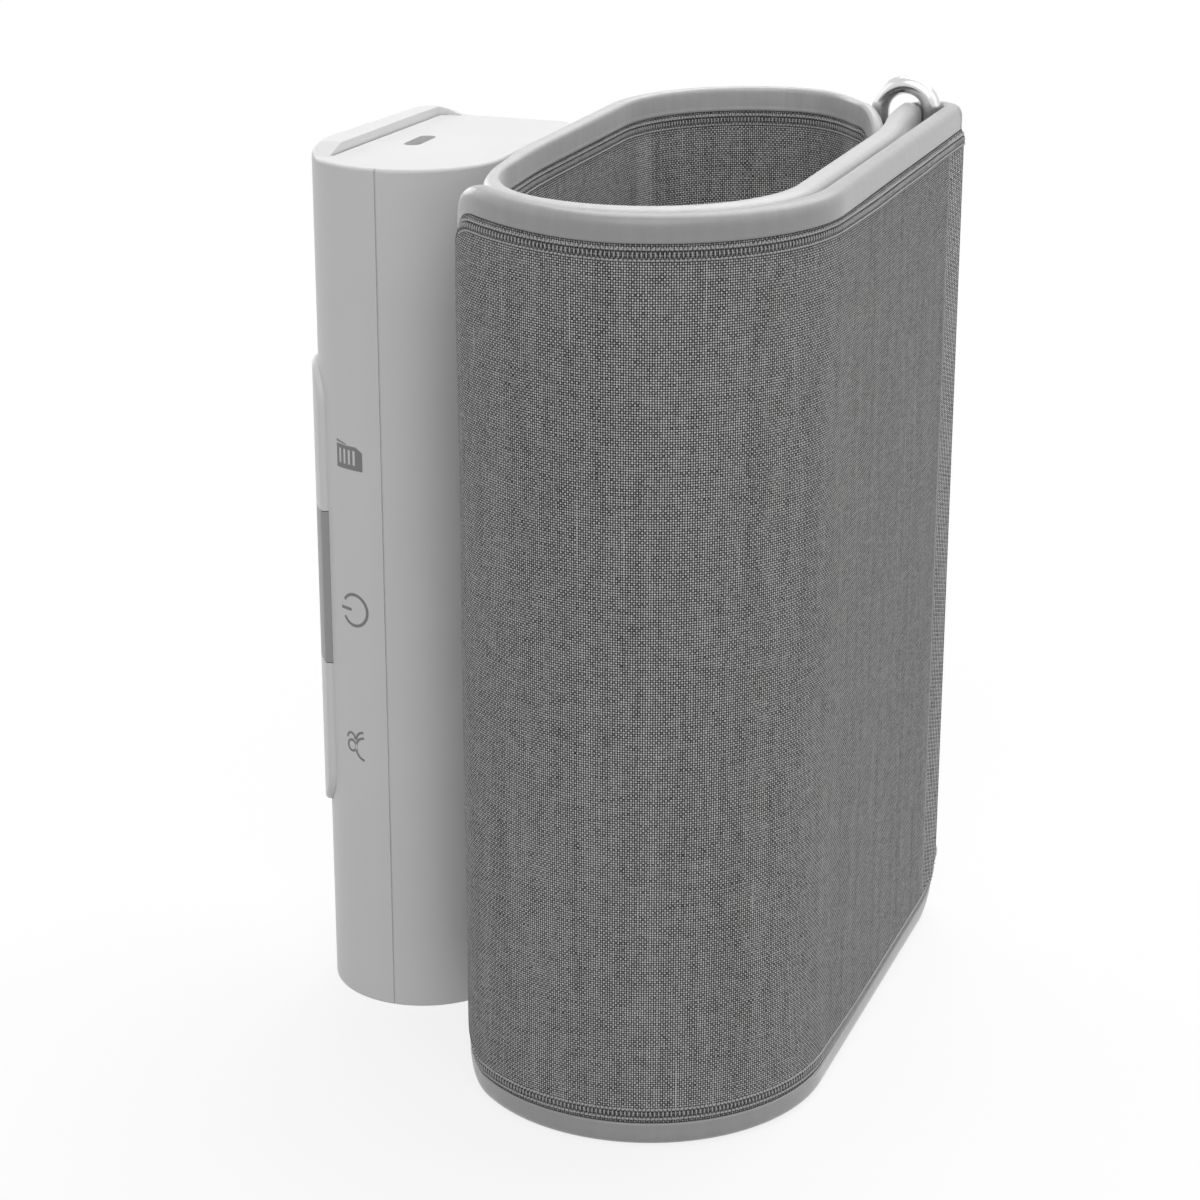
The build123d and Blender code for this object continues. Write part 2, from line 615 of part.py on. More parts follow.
# ---- display ----
with BuildPart() as display_window:
    with BuildSketch(front_plane.offset(-WINDOW_T)):
        RectangleRounded(*WINDOW, WINDOW_CORNER_R)
    extrude(amount=WINDOW_T)
    fillet(display_window.faces().sort_by(Axis.Y)[0].edges(), FIT)
save(display_window, "display_window")

with BuildPart() as lcd_panel:
    with BuildSketch(front_plane.offset(-WALL - LCD[2])):
        Rectangle(LCD[0], LCD[1])
    extrude(amount=LCD[2])
save(lcd_panel, "lcd_panel")

with BuildPart() as lcd_frame:
    frame_size = [side + 2 * LCD_FRAME_WALL + 2 * FIT for side in LCD[:2]]
    with BuildSketch(front_plane.offset(-WALL - LCD[2] - LCD_FRAME_BACK)):
        Rectangle(*frame_size)
    extrude(amount=LCD[2] + LCD_FRAME_BACK)
    with BuildSketch(front_plane.offset(-WALL - LCD[2])):
        Rectangle(LCD[0] + 2 * FIT, LCD[1] + 2 * FIT)
    extrude(amount=LCD[2], mode=Mode.SUBTRACT)
save(lcd_frame, "lcd_frame")

# ---- main board, chips and charging socket ----
with BuildPart() as main_board:
    with BuildSketch(Plane.XZ.offset(-BOARD_Y)):
        with Locations((sum(BOARD_X) / 2, sum(BOARD_Z) / 2)):
            Rectangle(BOARD_X[1] - BOARD_X[0], BOARD_Z[1] - BOARD_Z[0])
        with Locations((PORT_AT[0], BOARD_Z[1])):
            Rectangle(BOARD_TAB_W, CASE_H - FLOOR - FIT - BOARD_Z[1], align=(Align.CENTER, Align.MIN))
    extrude(amount=-BOARD_T)
save(main_board, "main_board")

with BuildPart() as board_chips:
    for chip_x, chip_drop, chip_size in CHIPS:
        with BuildSketch(Plane.XZ.offset(-BOARD_BACK)):
            with Locations((chip_x, CASE_H - chip_drop)):
                Rectangle(chip_size, chip_size)
        extrude(amount=-CHIP_T)
save(board_chips, "board_chips")

with BuildPart() as usb_socket:
    with BuildSketch(Plane.XY.offset(CASE_H - FLOOR - SOCKET[2])):
        with Locations(PORT_AT):
            SlotOverall(SOCKET[0], SOCKET[1])
    extrude(amount=SOCKET[2])
    with BuildSketch(Plane.XY.offset(CASE_H - FLOOR - SOCKET[2] + 2 * SOCKET_WALL)):
        with Locations(PORT_AT):
            SlotOverall(SOCKET[0] - 2 * SOCKET_WALL, SOCKET[1] - 2 * SOCKET_WALL)
    extrude(amount=SOCKET[2], mode=Mode.SUBTRACT)
    with BuildSketch(Plane.XY.offset(CASE_H - FLOOR - SOCKET[2])):
        with Locations(PORT_AT):
            Rectangle(SOCKET_TONGUE[0], SOCKET_TONGUE[1])
    extrude(amount=SOCKET_TONGUE[2])
save(usb_socket, "usb_socket")

# ---- battery ----
with BuildPart() as battery:
    with BuildSketch(Plane.XZ.offset(-BATTERY_Y)):
        with Locations((sum(BATTERY_X) / 2, sum(BATTERY_Z) / 2)):
            RectangleRounded(BATTERY_X[1] - BATTERY_X[0], BATTERY_Z[1] - BATTERY_Z[0], BATTERY_CORNER_R)
    extrude(amount=-BATTERY_T)
save(battery, "battery")

# ---- pump, sleeve, valve, sensor, manifold ----
with BuildPart() as pump_motor:
    with BuildSketch(Plane.XY.offset(MOTOR_Z[0])):
        with Locations(PUMP_AXIS):
            Circle(PUMP_R)
    extrude(amount=MOTOR_Z[1] - MOTOR_Z[0])
    fillet(pump_motor.edges().group_by(Axis.Z)[0], SLEEVE_T)
save(pump_motor, "pump_motor")

with BuildPart() as pump_head:
    with BuildSketch(Plane.XY.offset(MOTOR_Z[1])):
        with Locations(PUMP_AXIS):
            Circle(PUMP_R)
            Rectangle(2 * PUMP_R - WALL, 2 * PUMP_R - WALL, mode=Mode.INTERSECT)
    extrude(amount=PUMP_HEAD_TOP - MOTOR_Z[1])
    with BuildSketch(Plane.XY.offset(PUMP_HEAD_TOP)):
        with Locations((PUMP_AXIS[0], AIR_Y)):
            Circle(NIPPLE_R)
    extrude(amount=MANIFOLD_Z[0] - PUMP_HEAD_TOP)
save(pump_head, "pump_head")

with BuildPart() as pump_sleeve:
    with BuildSketch(Plane.XY.offset(SLEEVE_Z[0])):
        with Locations(PUMP_AXIS):
            Circle(PUMP_R + SLEEVE_T)
            Circle(PUMP_R, mode=Mode.SUBTRACT)
    extrude(amount=SLEEVE_Z[1] - SLEEVE_Z[0])
save(pump_sleeve, "pump_sleeve")

with BuildPart() as exhaust_valve:
    with BuildSketch(Plane.XY.offset(VALVE_Z[0])):
        with Locations((sum(VALVE_X) / 2, AIR_Y)):
            Rectangle(VALVE_X[1] - VALVE_X[0], VALVE_D)
    extrude(amount=VALVE_Z[1] - VALVE_Z[0])
    with BuildSketch(Plane.XY.offset(VALVE_Z[1])):
        with Locations((VALVE_NIPPLE_X, AIR_Y)):
            Circle(NIPPLE_R)
    extrude(amount=MANIFOLD_Z[0] - VALVE_Z[1])
save(exhaust_valve, "exhaust_valve")

with BuildPart() as pressure_sensor:
    with BuildSketch(Plane.XY.offset(SENSOR_Z[0])):
        with Locations((SENSOR_X, BOARD_BACK + SENSOR_T / 2)):
            Rectangle(SENSOR_W, SENSOR_T)
    extrude(amount=SENSOR_Z[1] - SENSOR_Z[0])
    with BuildSketch(Plane.XY.offset(MANIFOLD_Z[1])):
        with Locations((SENSOR_X, BOARD_BACK + SENSOR_T / 2)):
            Circle(NIPPLE_R)
    extrude(amount=SENSOR_Z[0] - MANIFOLD_Z[1])
save(pressure_sensor, "pressure_sensor")

with BuildPart() as air_manifold:
    with BuildSketch(Plane.XY.offset(MANIFOLD_Z[0])):
        with Locations((sum(MANIFOLD_X) / 2, AIR_Y)):
            RectangleRounded(MANIFOLD_X[1] - MANIFOLD_X[0], MANIFOLD_D, WALL)
    extrude(amount=MANIFOLD_Z[1] - MANIFOLD_Z[0])
    with BuildSketch(Plane.XZ.offset(-AIR_Y)):
        with Locations(AIR_PORT):
            Circle(AIR_TUBE_R - WALL / 4)
    extrude(amount=-MANIFOLD_D / 2 - MANIFOLD_SPOUT)
    with BuildSketch(Plane.XZ.offset(-AIR_Y)):
        with Locations(AIR_PORT):
            Circle(AIR_BORE_R)
    extrude(amount=-MANIFOLD_D / 2 - MANIFOLD_SPOUT, mode=Mode.SUBTRACT)
save(air_manifold, "air_manifold")

# ---- bracket between the case and the cuff, with the air tube and its seal ----
with BuildPart() as cuff_bracket:
    with BuildSketch(Plane.XZ.offset(-REAR_Y)):
        with Locations((sum(BRACKET_X) / 2, sum(BRACKET_Z) / 2)):
            RectangleRounded(BRACKET_X[1] - BRACKET_X[0], BRACKET_Z[1] - BRACKET_Z[0], REAR_CORNER_R)
        with Locations(AIR_PORT):
            Circle(AIR_TUBE_R + AIR_TUBE_FIT, mode=Mode.SUBTRACT)
    extrude(amount=REAR_Y - CUFF_FACE_Y)
    with BuildSketch(Plane.XZ.offset(-REAR_Y)):
        with Locations(*BRACKET_SCREW_XZ):
            Circle(SCREW_R + SCREW_HOLE_FIT)
    extrude(amount=-BRACKET_SCREW_BITE - FIT, mode=Mode.SUBTRACT)
    with BuildSketch(Plane.XZ.offset(-REAR_Y)):
        with Locations(AIR_PORT):
            Circle(AIR_TUBE_R + 2 * SEAL_R + FIT)
    extrude(amount=-SEAL_RECESS_D, mode=Mode.SUBTRACT)
    with BuildSketch(Plane.XZ.offset(-CUFF_FACE_Y)):
        with Locations(AIR_PORT):
            Circle(AIR_FLANGE_R + FIT)
    extrude(amount=AIR_FLANGE_T, mode=Mode.SUBTRACT)
save(cuff_bracket, "cuff_bracket")

with BuildPart() as port_seal:
    seal_middle_y = REAR_Y + SEAL_R
    with BuildSketch(Plane.YZ.offset(AIR_PORT[0])):
        with Locations((seal_middle_y, AIR_PORT[1] + AIR_TUBE_R + SEAL_R + SCREW_HOLE_FIT)):
            Circle(SEAL_R)
    revolve(axis=Axis((AIR_PORT[0], 0, AIR_PORT[1]), (0, 1, 0)))
save(port_seal, "port_seal")

with BuildPart() as air_tube:
    tube_front_y = AIR_Y + MANIFOLD_D / 2 + MANIFOLD_SPOUT
    tube_end_y = CUFF_FACE_Y + COVER_T
    with BuildSketch(Plane.XZ.offset(-tube_front_y)):
        with Locations(AIR_PORT):
            Circle(AIR_TUBE_R)
    extrude(amount=tube_front_y - tube_end_y)
    with BuildSketch(Plane.XZ.offset(-CUFF_FACE_Y)):
        with Locations(AIR_PORT):
            Circle(AIR_FLANGE_R)
    extrude(amount=AIR_FLANGE_T)
    with BuildSketch(Plane.XZ.offset(-tube_front_y)):
        with Locations(AIR_PORT):
            Circle(AIR_BORE_R)
    extrude(amount=tube_front_y - tube_end_y, mode=Mode.SUBTRACT)
save(air_tube, "air_tube")

# ---- cuff: cover, bladder, lining and bindings, from the ring's sleeve round to the ring ----
cuff_path = loop_path(LOOP_START, EASE_X, True)
cover_left = -FABRIC_T / 2 + COVER_T / 2
lining_left = FABRIC_T / 2 - LINING_T / 2
bladder_left = cover_left + COVER_T / 2 + BLADDER_T / 2


def lift_band(z_low, z_high):
    """Block that follows the cuff's lower edge where it rises to pass through the ring."""
    flat_x = EASE_END_X + RING_WIRE_R
    with BuildPart() as band:
        with BuildSketch(Plane.XZ.offset(-FIXED_BAR_Y - RING_WIRE_R)):
            with BuildLine():
                Polyline(
                    (LIFT_START_X, z_low),
                    (flat_x, z_low + LIFT),
                    (RING_X, z_low + LIFT),
                    (RING_X, z_high + LIFT),
                    (flat_x, z_high + LIFT),
                    (LIFT_START_X, z_high),
                    close=True,
                )
            make_face()
        extrude(amount=-BAR_GAP)
    return band.part


with BuildPart() as cuff_cover:
    add(sheet_along(cuff_path, cover_left, COVER_T, *FABRIC_Z))
    add(lift_band(FABRIC_Z[0] - LIFT, FABRIC_Z[0]), mode=Mode.SUBTRACT)
    with BuildSketch(Plane.XZ.offset(-REAR_Y)):
        with Locations(AIR_PORT):
            Circle(AIR_TUBE_R + AIR_TUBE_FIT)
    extrude(amount=REAR_Y - CUFF_FACE_Y - COVER_T, mode=Mode.SUBTRACT)
save(cuff_cover, "cuff_cover")

with BuildPart() as cuff_lining:
    add(sheet_along(cuff_path, lining_left, LINING_T, *FABRIC_Z))
    add(lift_band(FABRIC_Z[0] - LIFT, FABRIC_Z[0]), mode=Mode.SUBTRACT)
save(cuff_lining, "cuff_lining")

with BuildPart() as air_bladder:
    bladder_path = loop_path(LOOP_START + BLADDER_MARGIN, EASE_X + BLADDER_MARGIN, False)
    add(sheet_along(bladder_path, bladder_left, BLADDER_T, BLADDER_MARGIN, CUFF_H - BLADDER_MARGIN))
save(air_bladder, "air_bladder")

with BuildPart() as cuff_top_binding:
    add(binding_along(cuff_path, BINDING_T, FABRIC_Z[1], CUFF_H))
save(cuff_top_binding, "cuff_top_binding")

with BuildPart() as rising_binding:
    add(sheet_along(cuff_path, 0, BINDING_T, -LIFT, CUFF_H / 2))
    add(lift_band(0, BINDING_H), mode=Mode.INTERSECT)

with BuildPart() as cuff_bottom_binding:
    add(binding_along(loop_path(LOOP_START, LIFT_START_X, False), BINDING_T, FABRIC_Z[0], 0))
    add(rising_binding.part)
save(cuff_bottom_binding, "cuff_bottom_binding")

with BuildLine() as pad_line:
    CenterArc((LOOP_NEAR_X, LOOP_MID_Y), LOOP_R, LOOP_PAD_END, 90 - LOOP_PAD_END)
    Line((LOOP_NEAR_X, LOOP_FRONT_Y), (LOOP_PAD_START_X, LOOP_FRONT_Y))

with BuildPart() as loop_pad:
    pad_left = -(FABRIC_T + LOOP_PAD_T) / 2
    pad_z = (LOOP_PAD_MARGIN, CUFF_H - LOOP_PAD_MARGIN)
    add(sheet_along(pad_line.wires()[0], pad_left, LOOP_PAD_T, *pad_z))
save(loop_pad, "loop_pad")

# ---- ring and the sleeve that holds it ----
with BuildPart() as ring:
    with BuildLine(Plane.YZ.offset(RING_X)) as ring_line:
        low_z = BAR_GAP / 2 + RING_WIRE_R
        high_z = RING_TOP - RING_WIRE_R - ARCH_R
        Line((FIXED_BAR_Y, low_z), (FIXED_BAR_Y, high_z))
        CenterArc((FIXED_BAR_Y + ARCH_R, high_z), ARCH_R, 180, -180)
        Line((MOVING_BAR_Y, high_z), (MOVING_BAR_Y, low_z))
        CenterArc((FIXED_BAR_Y + ARCH_R, low_z), ARCH_R, 0, -180)
    with BuildSketch(Plane.XY.offset(low_z)):
        with Locations((RING_X, FIXED_BAR_Y)):
            Circle(RING_WIRE_R)
    sweep(path=ring_line.wires()[0])
save(ring, "ring")

bar_angle = degrees(atan2(FIXED_BAR_Y - LOOP_MID_Y, RING_X - LOOP_FAR_X))
sleeve_z = (RING_SLEEVE_MARGIN, CUFF_H - RING_SLEEVE_MARGIN)
with BuildLine() as tab_line:
    CenterArc((LOOP_FAR_X, LOOP_MID_Y), LOOP_R, bar_angle, LOOP_START - bar_angle)

with BuildPart() as ring_sleeve:
    add(sheet_along(tab_line.wires()[0], 0, FABRIC_T, *sleeve_z))
    with BuildSketch(Plane.XY.offset(sleeve_z[0])):
        with Locations((RING_X, FIXED_BAR_Y)):
            Circle(RING_WIRE_R + RING_FIT + SLEEVE_WRAP_T)
    extrude(amount=sleeve_z[1] - sleeve_z[0])
    with BuildSketch(Plane.XY):
        with Locations((RING_X, FIXED_BAR_Y)):
            Circle(RING_WIRE_R + RING_FIT)
    extrude(amount=CUFF_H, mode=Mode.SUBTRACT)
save(ring_sleeve, "ring_sleeve")

# ---- strap: fold round the ring's free bar, then three pieces that lie on the cuff ----
with BuildLine() as fold_line:
    CenterArc((RING_X, MOVING_BAR_Y), FOLD_R, 90, 180)

with BuildPart() as strap_fold:
    add(sheet_along(fold_line.wires()[0], 0, FABRIC_T, LIFT + BINDING_H, FABRIC_Z[1]))
    add(binding_along(fold_line.wires()[0], BINDING_T, FABRIC_Z[1], CUFF_H))
    add(binding_along(fold_line.wires()[0], BINDING_T, LIFT + BINDING_H, LIFT))
save(strap_fold, "strap_fold")

with BuildLine() as strap_line:
    Line((RING_X, TAIL_Y), (TAIL_NEAR_X, TAIL_Y))
    CenterArc((TAIL_NEAR_X, TAIL_MID_Y), TAIL_R, 90, TAIL_SPLIT - 90)
strap_path = strap_line.wires()[0]
end_path = strap_arc(TAIL_SPLIT - SPLIT_GAP, TIP_SPLIT)
fabric_left = STRAP_T / 2 - STRAP_FACE - OUTER_T / 2
pad_thick = STRAP_T - STRAP_FACE - OUTER_T
hook_left = -(STRAP_T - pad_thick) / 2

for path, prefix in ((strap_path, "strap"), (end_path, "strap_end")):
    with BuildPart() as fabric:
        add(sheet_along(path, fabric_left, OUTER_T, *FABRIC_Z))
    save(fabric, f"{prefix}_fabric")
    with BuildPart() as hook_pad:
        add(sheet_along(path, hook_left, pad_thick, *FABRIC_Z))
    save(hook_pad, f"{prefix}_hook_pad")
    with BuildPart() as edge_binding:
        add(binding_along(path, STRAP_T, FABRIC_Z[1], CUFF_H))
        add(binding_along(path, STRAP_T, FABRIC_Z[0], 0))
    save(edge_binding, f"{prefix}_binding")

# the tip's binding also runs down its free end, round two corners
tip_path = strap_arc(TIP_SPLIT - SPLIT_GAP, TIP_END)
binding_turn = degrees(BINDING_H / TAIL_R)
tip_inner_path = strap_arc(TIP_SPLIT - SPLIT_GAP, TIP_END + binding_turn)


def tip_sheet(path, left, thick, z_low, z_high, corner):
    """Sheet of the strap's tip with round corners at its free end."""
    with BuildPart() as sheet:
        add(sheet_along(path, left, thick, z_low, z_high))
        free_end = sheet.faces().sort_by(Axis.Y)[0]
        corners = free_end.edges().filter_by(GeomType.LINE)
        fillet(corners.group_by(Axis.Z)[0] + corners.group_by(Axis.Z)[-1], corner)
    return sheet.part


inner_corner = TIP_CORNER_R - BINDING_H
with BuildPart() as tip_fabric:
    add(tip_sheet(tip_inner_path, fabric_left, OUTER_T, *FABRIC_Z, inner_corner))
save(tip_fabric, "strap_tip_fabric")

with BuildPart() as tip_pad:
    add(tip_sheet(tip_inner_path, hook_left, pad_thick, *FABRIC_Z, inner_corner))
save(tip_pad, "strap_tip_hook_pad")

with BuildPart() as tip_binding:
    add(tip_sheet(tip_path, 0, STRAP_T, 0, CUFF_H, TIP_CORNER_R))
    split_end = tip_binding.faces().sort_by(Axis.Y)[-1]
    broad_faces = tip_binding.faces().sort_by(SortBy.AREA)[-2:]
    rim_edges = [e for e in broad_faces.edges() if e not in split_end.edges()]
    fillet(rim_edges, STRAP_T * RIM_ROUND)
    add(tip_sheet(tip_inner_path, 0, 2 * STRAP_T, *FABRIC_Z, inner_corner), mode=Mode.SUBTRACT)
save(tip_binding, "strap_tip_binding")
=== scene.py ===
"""Arm-in blood pressure monitor: cloth, prints, finishes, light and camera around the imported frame."""

import json
import math
from functools import partialmethod

import bpy
import bmesh
import numpy as np
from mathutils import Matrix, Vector


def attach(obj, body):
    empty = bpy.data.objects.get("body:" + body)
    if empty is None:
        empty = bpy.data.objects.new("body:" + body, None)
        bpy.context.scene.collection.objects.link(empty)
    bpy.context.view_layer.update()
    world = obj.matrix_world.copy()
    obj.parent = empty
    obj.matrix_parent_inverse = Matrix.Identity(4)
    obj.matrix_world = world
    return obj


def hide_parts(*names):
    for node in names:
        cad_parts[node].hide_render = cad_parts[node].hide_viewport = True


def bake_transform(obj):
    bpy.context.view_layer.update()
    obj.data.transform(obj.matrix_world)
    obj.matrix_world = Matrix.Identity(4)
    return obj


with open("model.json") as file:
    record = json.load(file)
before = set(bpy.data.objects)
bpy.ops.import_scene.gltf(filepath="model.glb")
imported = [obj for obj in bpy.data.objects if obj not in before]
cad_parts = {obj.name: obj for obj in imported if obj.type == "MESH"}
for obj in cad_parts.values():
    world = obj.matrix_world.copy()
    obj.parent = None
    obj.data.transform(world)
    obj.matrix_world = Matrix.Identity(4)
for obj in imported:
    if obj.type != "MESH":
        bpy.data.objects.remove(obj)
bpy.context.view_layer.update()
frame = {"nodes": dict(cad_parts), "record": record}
nodes = frame["nodes"]
MM = 0.001

# ---- sizes in millimetres: the solids' own, and those of soft forms that only this script has ----
NOSE = (8.3, -0.6)
NOSE_R = 15.6
CUFF_H = 145.0
LOOP_R = 24.35
LOOP_FAR = (-27.5, 45.25)
LOOP_NEAR = (26.8, 45.25)
FRONT_Y = LOOP_FAR[1] + LOOP_R
REAR_Y = LOOP_FAR[1] - LOOP_R
BINDING_T = 3.2
BINDING_H = 4.0
FABRIC_T = 2.6
COVER_T = 0.7
LINING_T = 0.7
BLADDER_T = 1.2
BLADDER_MARGIN = 9.0
EASE_X = -14.0              # the cuff eases towards the ring over a longer run than in the solids
EASE_END_X = -42.0
RING_X = -43.7
FIXED_BAR_Y = 61.8
MOVING_BAR_Y = 70.6
FOLD_R = 3.45
THREAD_Y = MOVING_BAR_Y - FOLD_R
TAIL_Y = MOVING_BAR_Y + FOLD_R
LIFT = 4.8
LIFT_START_X = -16.0
LIFT_END_X = -40.5
STRAP_T = 2.9
STRAP_FACE = 0.3
OUTER_T = 1.3
TAIL_R_IN = 26.7
TAIL_R = TAIL_R_IN + STRAP_T / 2
TAIL_MID = (27.1, TAIL_Y - TAIL_R)
TAIL_SPLIT = 80.0
TIP_SPLIT = 10.0
TIP_END = -66.0
TIP_CORNER_R = 12.0
TIP_HUG = 0.75              # how far the free end bends in towards the cuff
TIP_CURL = 0.5              # and how far its very edge curls in on top of that
TIP_CURL_RUN = 5.0
TIP_RISE = 0.8              # how much higher the free end stands
END_IN = 0.3                # how much closer to the cuff the strap's end lies
STRAP_PROUD = 0.12          # how far the strap's cloth stands out between its bindings,
SIDE_PROUD = 0.7            # on the straight run beside the cuff,
FOLD_PROUD = 0.8            # at the fold,
TIP_PROUD = 0.6             # and what the free end adds
HOOKS_IN = 0.15             # from the binding's inner face to the hook pads
LOW_END_X = -35.5           # where the strap's lower edge starts to rise towards the ring
LOOP_PAD_T = 0.5
LOOP_PAD_MARGIN = 12.0
LOOP_PAD_START = -38        # degrees round the near side
LOOP_PAD_END_X = -18.0
TUCK = 1.2                  # how far cloth runs into its binding
TAPE_T = 0.45
NEAR_SIDE_ANGLE = -78.0     # where the cuff leans in most under the strap's end, in degrees
NEAR_SIDE_SPREAD = 50.0
NEAR_SIDE_IN = 1.6
NEAR_SIDE_THIN = 0.26       # share of its thickness that the cuff loses there
FLAP_END = 101.0            # the cuff's far end runs on inside the ring's bar, as a flap with round corners
FLAP_FROM = 178.0
FLAP_IN = 4.2
FLAP_THIN = 0.28            # share of its thickness that the flap loses
FLAP_CORNER_R = 12.0
FLAP_THIN_TO = 28.0         # distance from the end where the flap has its whole thickness,
FLAP_THIN_FROM = 16.0       # and where it is thin all through
BLADDER_INSET = (30, 24)    # distance of the bladder from the cuff's far end and from the ring's end
TAB_T = 0.5
TAB_FROM = 168.0            # where the ring's tab is sewn on, in degrees round the far end
TAB_LEAD = 8.0
TAB_MARGIN = 7.0
TAB_LIFTS = (0.85, 0.27)    # of its outer and inner layer over the cuff's face
TAB_TUCK = 0.9
TAB_TURN = 35               # degrees that it wraps past a half turn, at each side
RING_WIRE_FIT = 1.55 + 0.04
WAVE, GATHER = 0.09, 0.07   # size of the slow waves and of the gathers at seams
WAVES_FROM = 8.0            # distance over which waves and bulges grow
STITCH_ROWS = (0.8, 2.35)   # distance of the two needle rows from the binding
STITCH_PITCH = 0.62
STITCH_HALF = 0.27          # half the length of a needle stitch
NEEDLE_R, LOOPER_R = 0.19, 0.14
CORNER_STITCH = 4.5         # how far the stitches go on round the tip's corners
FLAP_STITCH = 5.5           # and how far from the flap's end they start


# ---- tracks: horizontal lines that cloth follows ----
def unit(vectors):
    return vectors / np.linalg.norm(vectors, axis=-1, keepdims=True)


def run_length(points):
    """Distance along a row of points, from 0 at the first."""
    return np.concatenate([[0], np.cumsum(np.linalg.norm(np.diff(points, axis=0), axis=1))])


class Track:
    """Points along a line with its length so far and its outward normal, in millimetres.
    side is 1 where outward lies to the right of the way along, -1 where it lies to the left."""

    def __init__(self, points, tangents, side=1):
        self.points = np.array(points, float)
        tangent = unit(np.array(tangents, float))
        self.out = side * np.stack([tangent[:, 1], -tangent[:, 0]], axis=1)
        self.s = run_length(self.points)

    @property
    def length(self):
        return self.s[-1]

    def at(self, s):
        """Points and outward normals at distances along the track."""
        s = np.asarray(s, float)
        p = np.stack([np.interp(s, self.s, self.points[:, k]) for k in (0, 1)], axis=-1)
        n = np.stack([np.interp(s, self.s, self.out[:, k]) for k in (0, 1)], axis=-1)
        return p, unit(n)


def line(a, b):
    """Dense points of a straight run, with their tangents."""
    a, b = np.array(a, float), np.array(b, float)
    count = max(2, int(np.linalg.norm(b - a) / 0.5) + 1)
    t = np.linspace(0, 1, count)[:, None]
    return a + t * (b - a), np.repeat((b - a)[None], count, axis=0)


def arc(centre, radius, start, end):
    """Dense points of an arc from one angle to another, with their tangents."""
    count = max(3, int(abs(math.radians(end - start)) * radius / 0.25) + 1)
    t = np.radians(np.linspace(start, end, count))
    points = np.array(centre) + radius * np.stack([np.cos(t), np.sin(t)], axis=1)
    turn = math.copysign(1, end - start)
    return points, turn * np.stack([-np.sin(t), np.cos(t)], axis=1)


def track(*runs, side=1):
    """One track from runs that follow each other."""
    points, tangents = [runs[0][0]], [runs[0][1] / np.linalg.norm(runs[0][1][0])]
    for p, t in runs[1:]:
        points.append(p[1:])
        tangents.append(t[1:] / np.linalg.norm(t[0]))
    return Track(np.concatenate(points), np.concatenate(tangents), side)


def spiral(centre, radius, start, end):
    """Dense points round a centre whose radius follows the angle, with their tangents."""
    angles = np.linspace(start, end, int(abs(end - start) * 2) + 1)
    t = np.radians(angles)
    points = np.array(centre) + radius(angles)[:, None] * np.stack([np.cos(t), np.sin(t)], axis=1)
    return points, np.gradient(points, axis=0)


def smooth(t):
    t = np.clip(t, 0, 1)
    return t * t * (3 - 2 * t)


def flap_radius(angles):
    """The cuff's far end comes in towards the arm, so that it passes inside the ring's fixed bar."""
    return LOOP_R - FLAP_IN * smooth((FLAP_FROM - angles) / (FLAP_FROM - BAR_ANGLE))


BAR_ANGLE = math.degrees(math.atan2(FIXED_BAR_Y - LOOP_FAR[1], RING_X - LOOP_FAR[0]))
bar = np.array([RING_X, FIXED_BAR_Y])
ease_run, ease_drop = EASE_X - EASE_END_X, FRONT_Y - THREAD_Y
EASE_R = (ease_run**2 + ease_drop**2) / (4 * ease_drop)
EASE_TURN = 2 * math.degrees(math.atan2(ease_drop, ease_run))


def near_side(points):
    """How much of the near side's own shape a point has: 1 in the middle of it, 0 elsewhere."""
    angle = np.degrees(np.arctan2(points[..., 1] - LOOP_NEAR[1], points[..., 0] - LOOP_NEAR[0]))
    reach = 1 - np.abs(angle - NEAR_SIDE_ANGLE) / NEAR_SIDE_SPREAD
    return np.where(points[..., 0] > 0, smooth(reach), 0.0)


def leaning_in(tr):
    """The same track, brought in where the strap's end lies over the cuff's near side."""
    points = tr.points - tr.out * (NEAR_SIDE_IN * near_side(tr.points))[:, None]
    return Track(points, np.gradient(points, axis=0))


cuff_track = leaning_in(track(
    spiral(LOOP_FAR, flap_radius, FLAP_END, FLAP_FROM),
    arc(LOOP_FAR, LOOP_R, FLAP_FROM, 270),
    line((LOOP_FAR[0], REAR_Y), (LOOP_NEAR[0], REAR_Y)),
    arc(LOOP_NEAR, LOOP_R, -90, 90),
    line((LOOP_NEAR[0], FRONT_Y), (EASE_X, FRONT_Y)),
    arc((EASE_X, FRONT_Y - EASE_R), EASE_R, 90, 90 + EASE_TURN),
    arc((EASE_END_X, THREAD_Y + EASE_R), EASE_R, EASE_TURN - 90, -90),
    line((EASE_END_X, THREAD_Y), (RING_X, THREAD_Y)),
))
fold_track = track(arc((RING_X, MOVING_BAR_Y), FOLD_R, 270, 90), side=-1)
strap_track = track(
    line((RING_X, TAIL_Y), (TAIL_MID[0], TAIL_Y)),
    arc(TAIL_MID, TAIL_R, 90, TIP_END),
    side=-1,
)


def ripple(s, z, seed):
    """Slow, irregular waves of laid cloth, from -1 to 1."""
    rng = np.random.default_rng(seed)
    total = np.zeros(np.broadcast(s, z).shape)
    for _ in range(7):
        ks, kz = rng.uniform(0.05, 0.32), rng.uniform(0.01, 0.12)
        total = total + np.sin(ks * s + kz * z * rng.choice([-1, 1]) + rng.uniform(0, 6.28))
    return total / 4


def pucker(s, depth, seed):
    """Small gathers that the stitching pulls into the cloth, fading with depth from the seam."""
    rng = np.random.default_rng(seed)
    wave = sum(np.sin(s * rng.uniform(0.7, 2.4) + rng.uniform(0, 6.28)) for _ in range(4)) / 4
    return wave * np.exp(-depth / 5.0) * np.clip(depth / 1.5, 0, 1)


# ---- mesh helpers ----
def put_in_scene(name, data):
    ob = bpy.data.objects.new(name, data)
    bpy.context.scene.collection.objects.link(ob)
    return ob


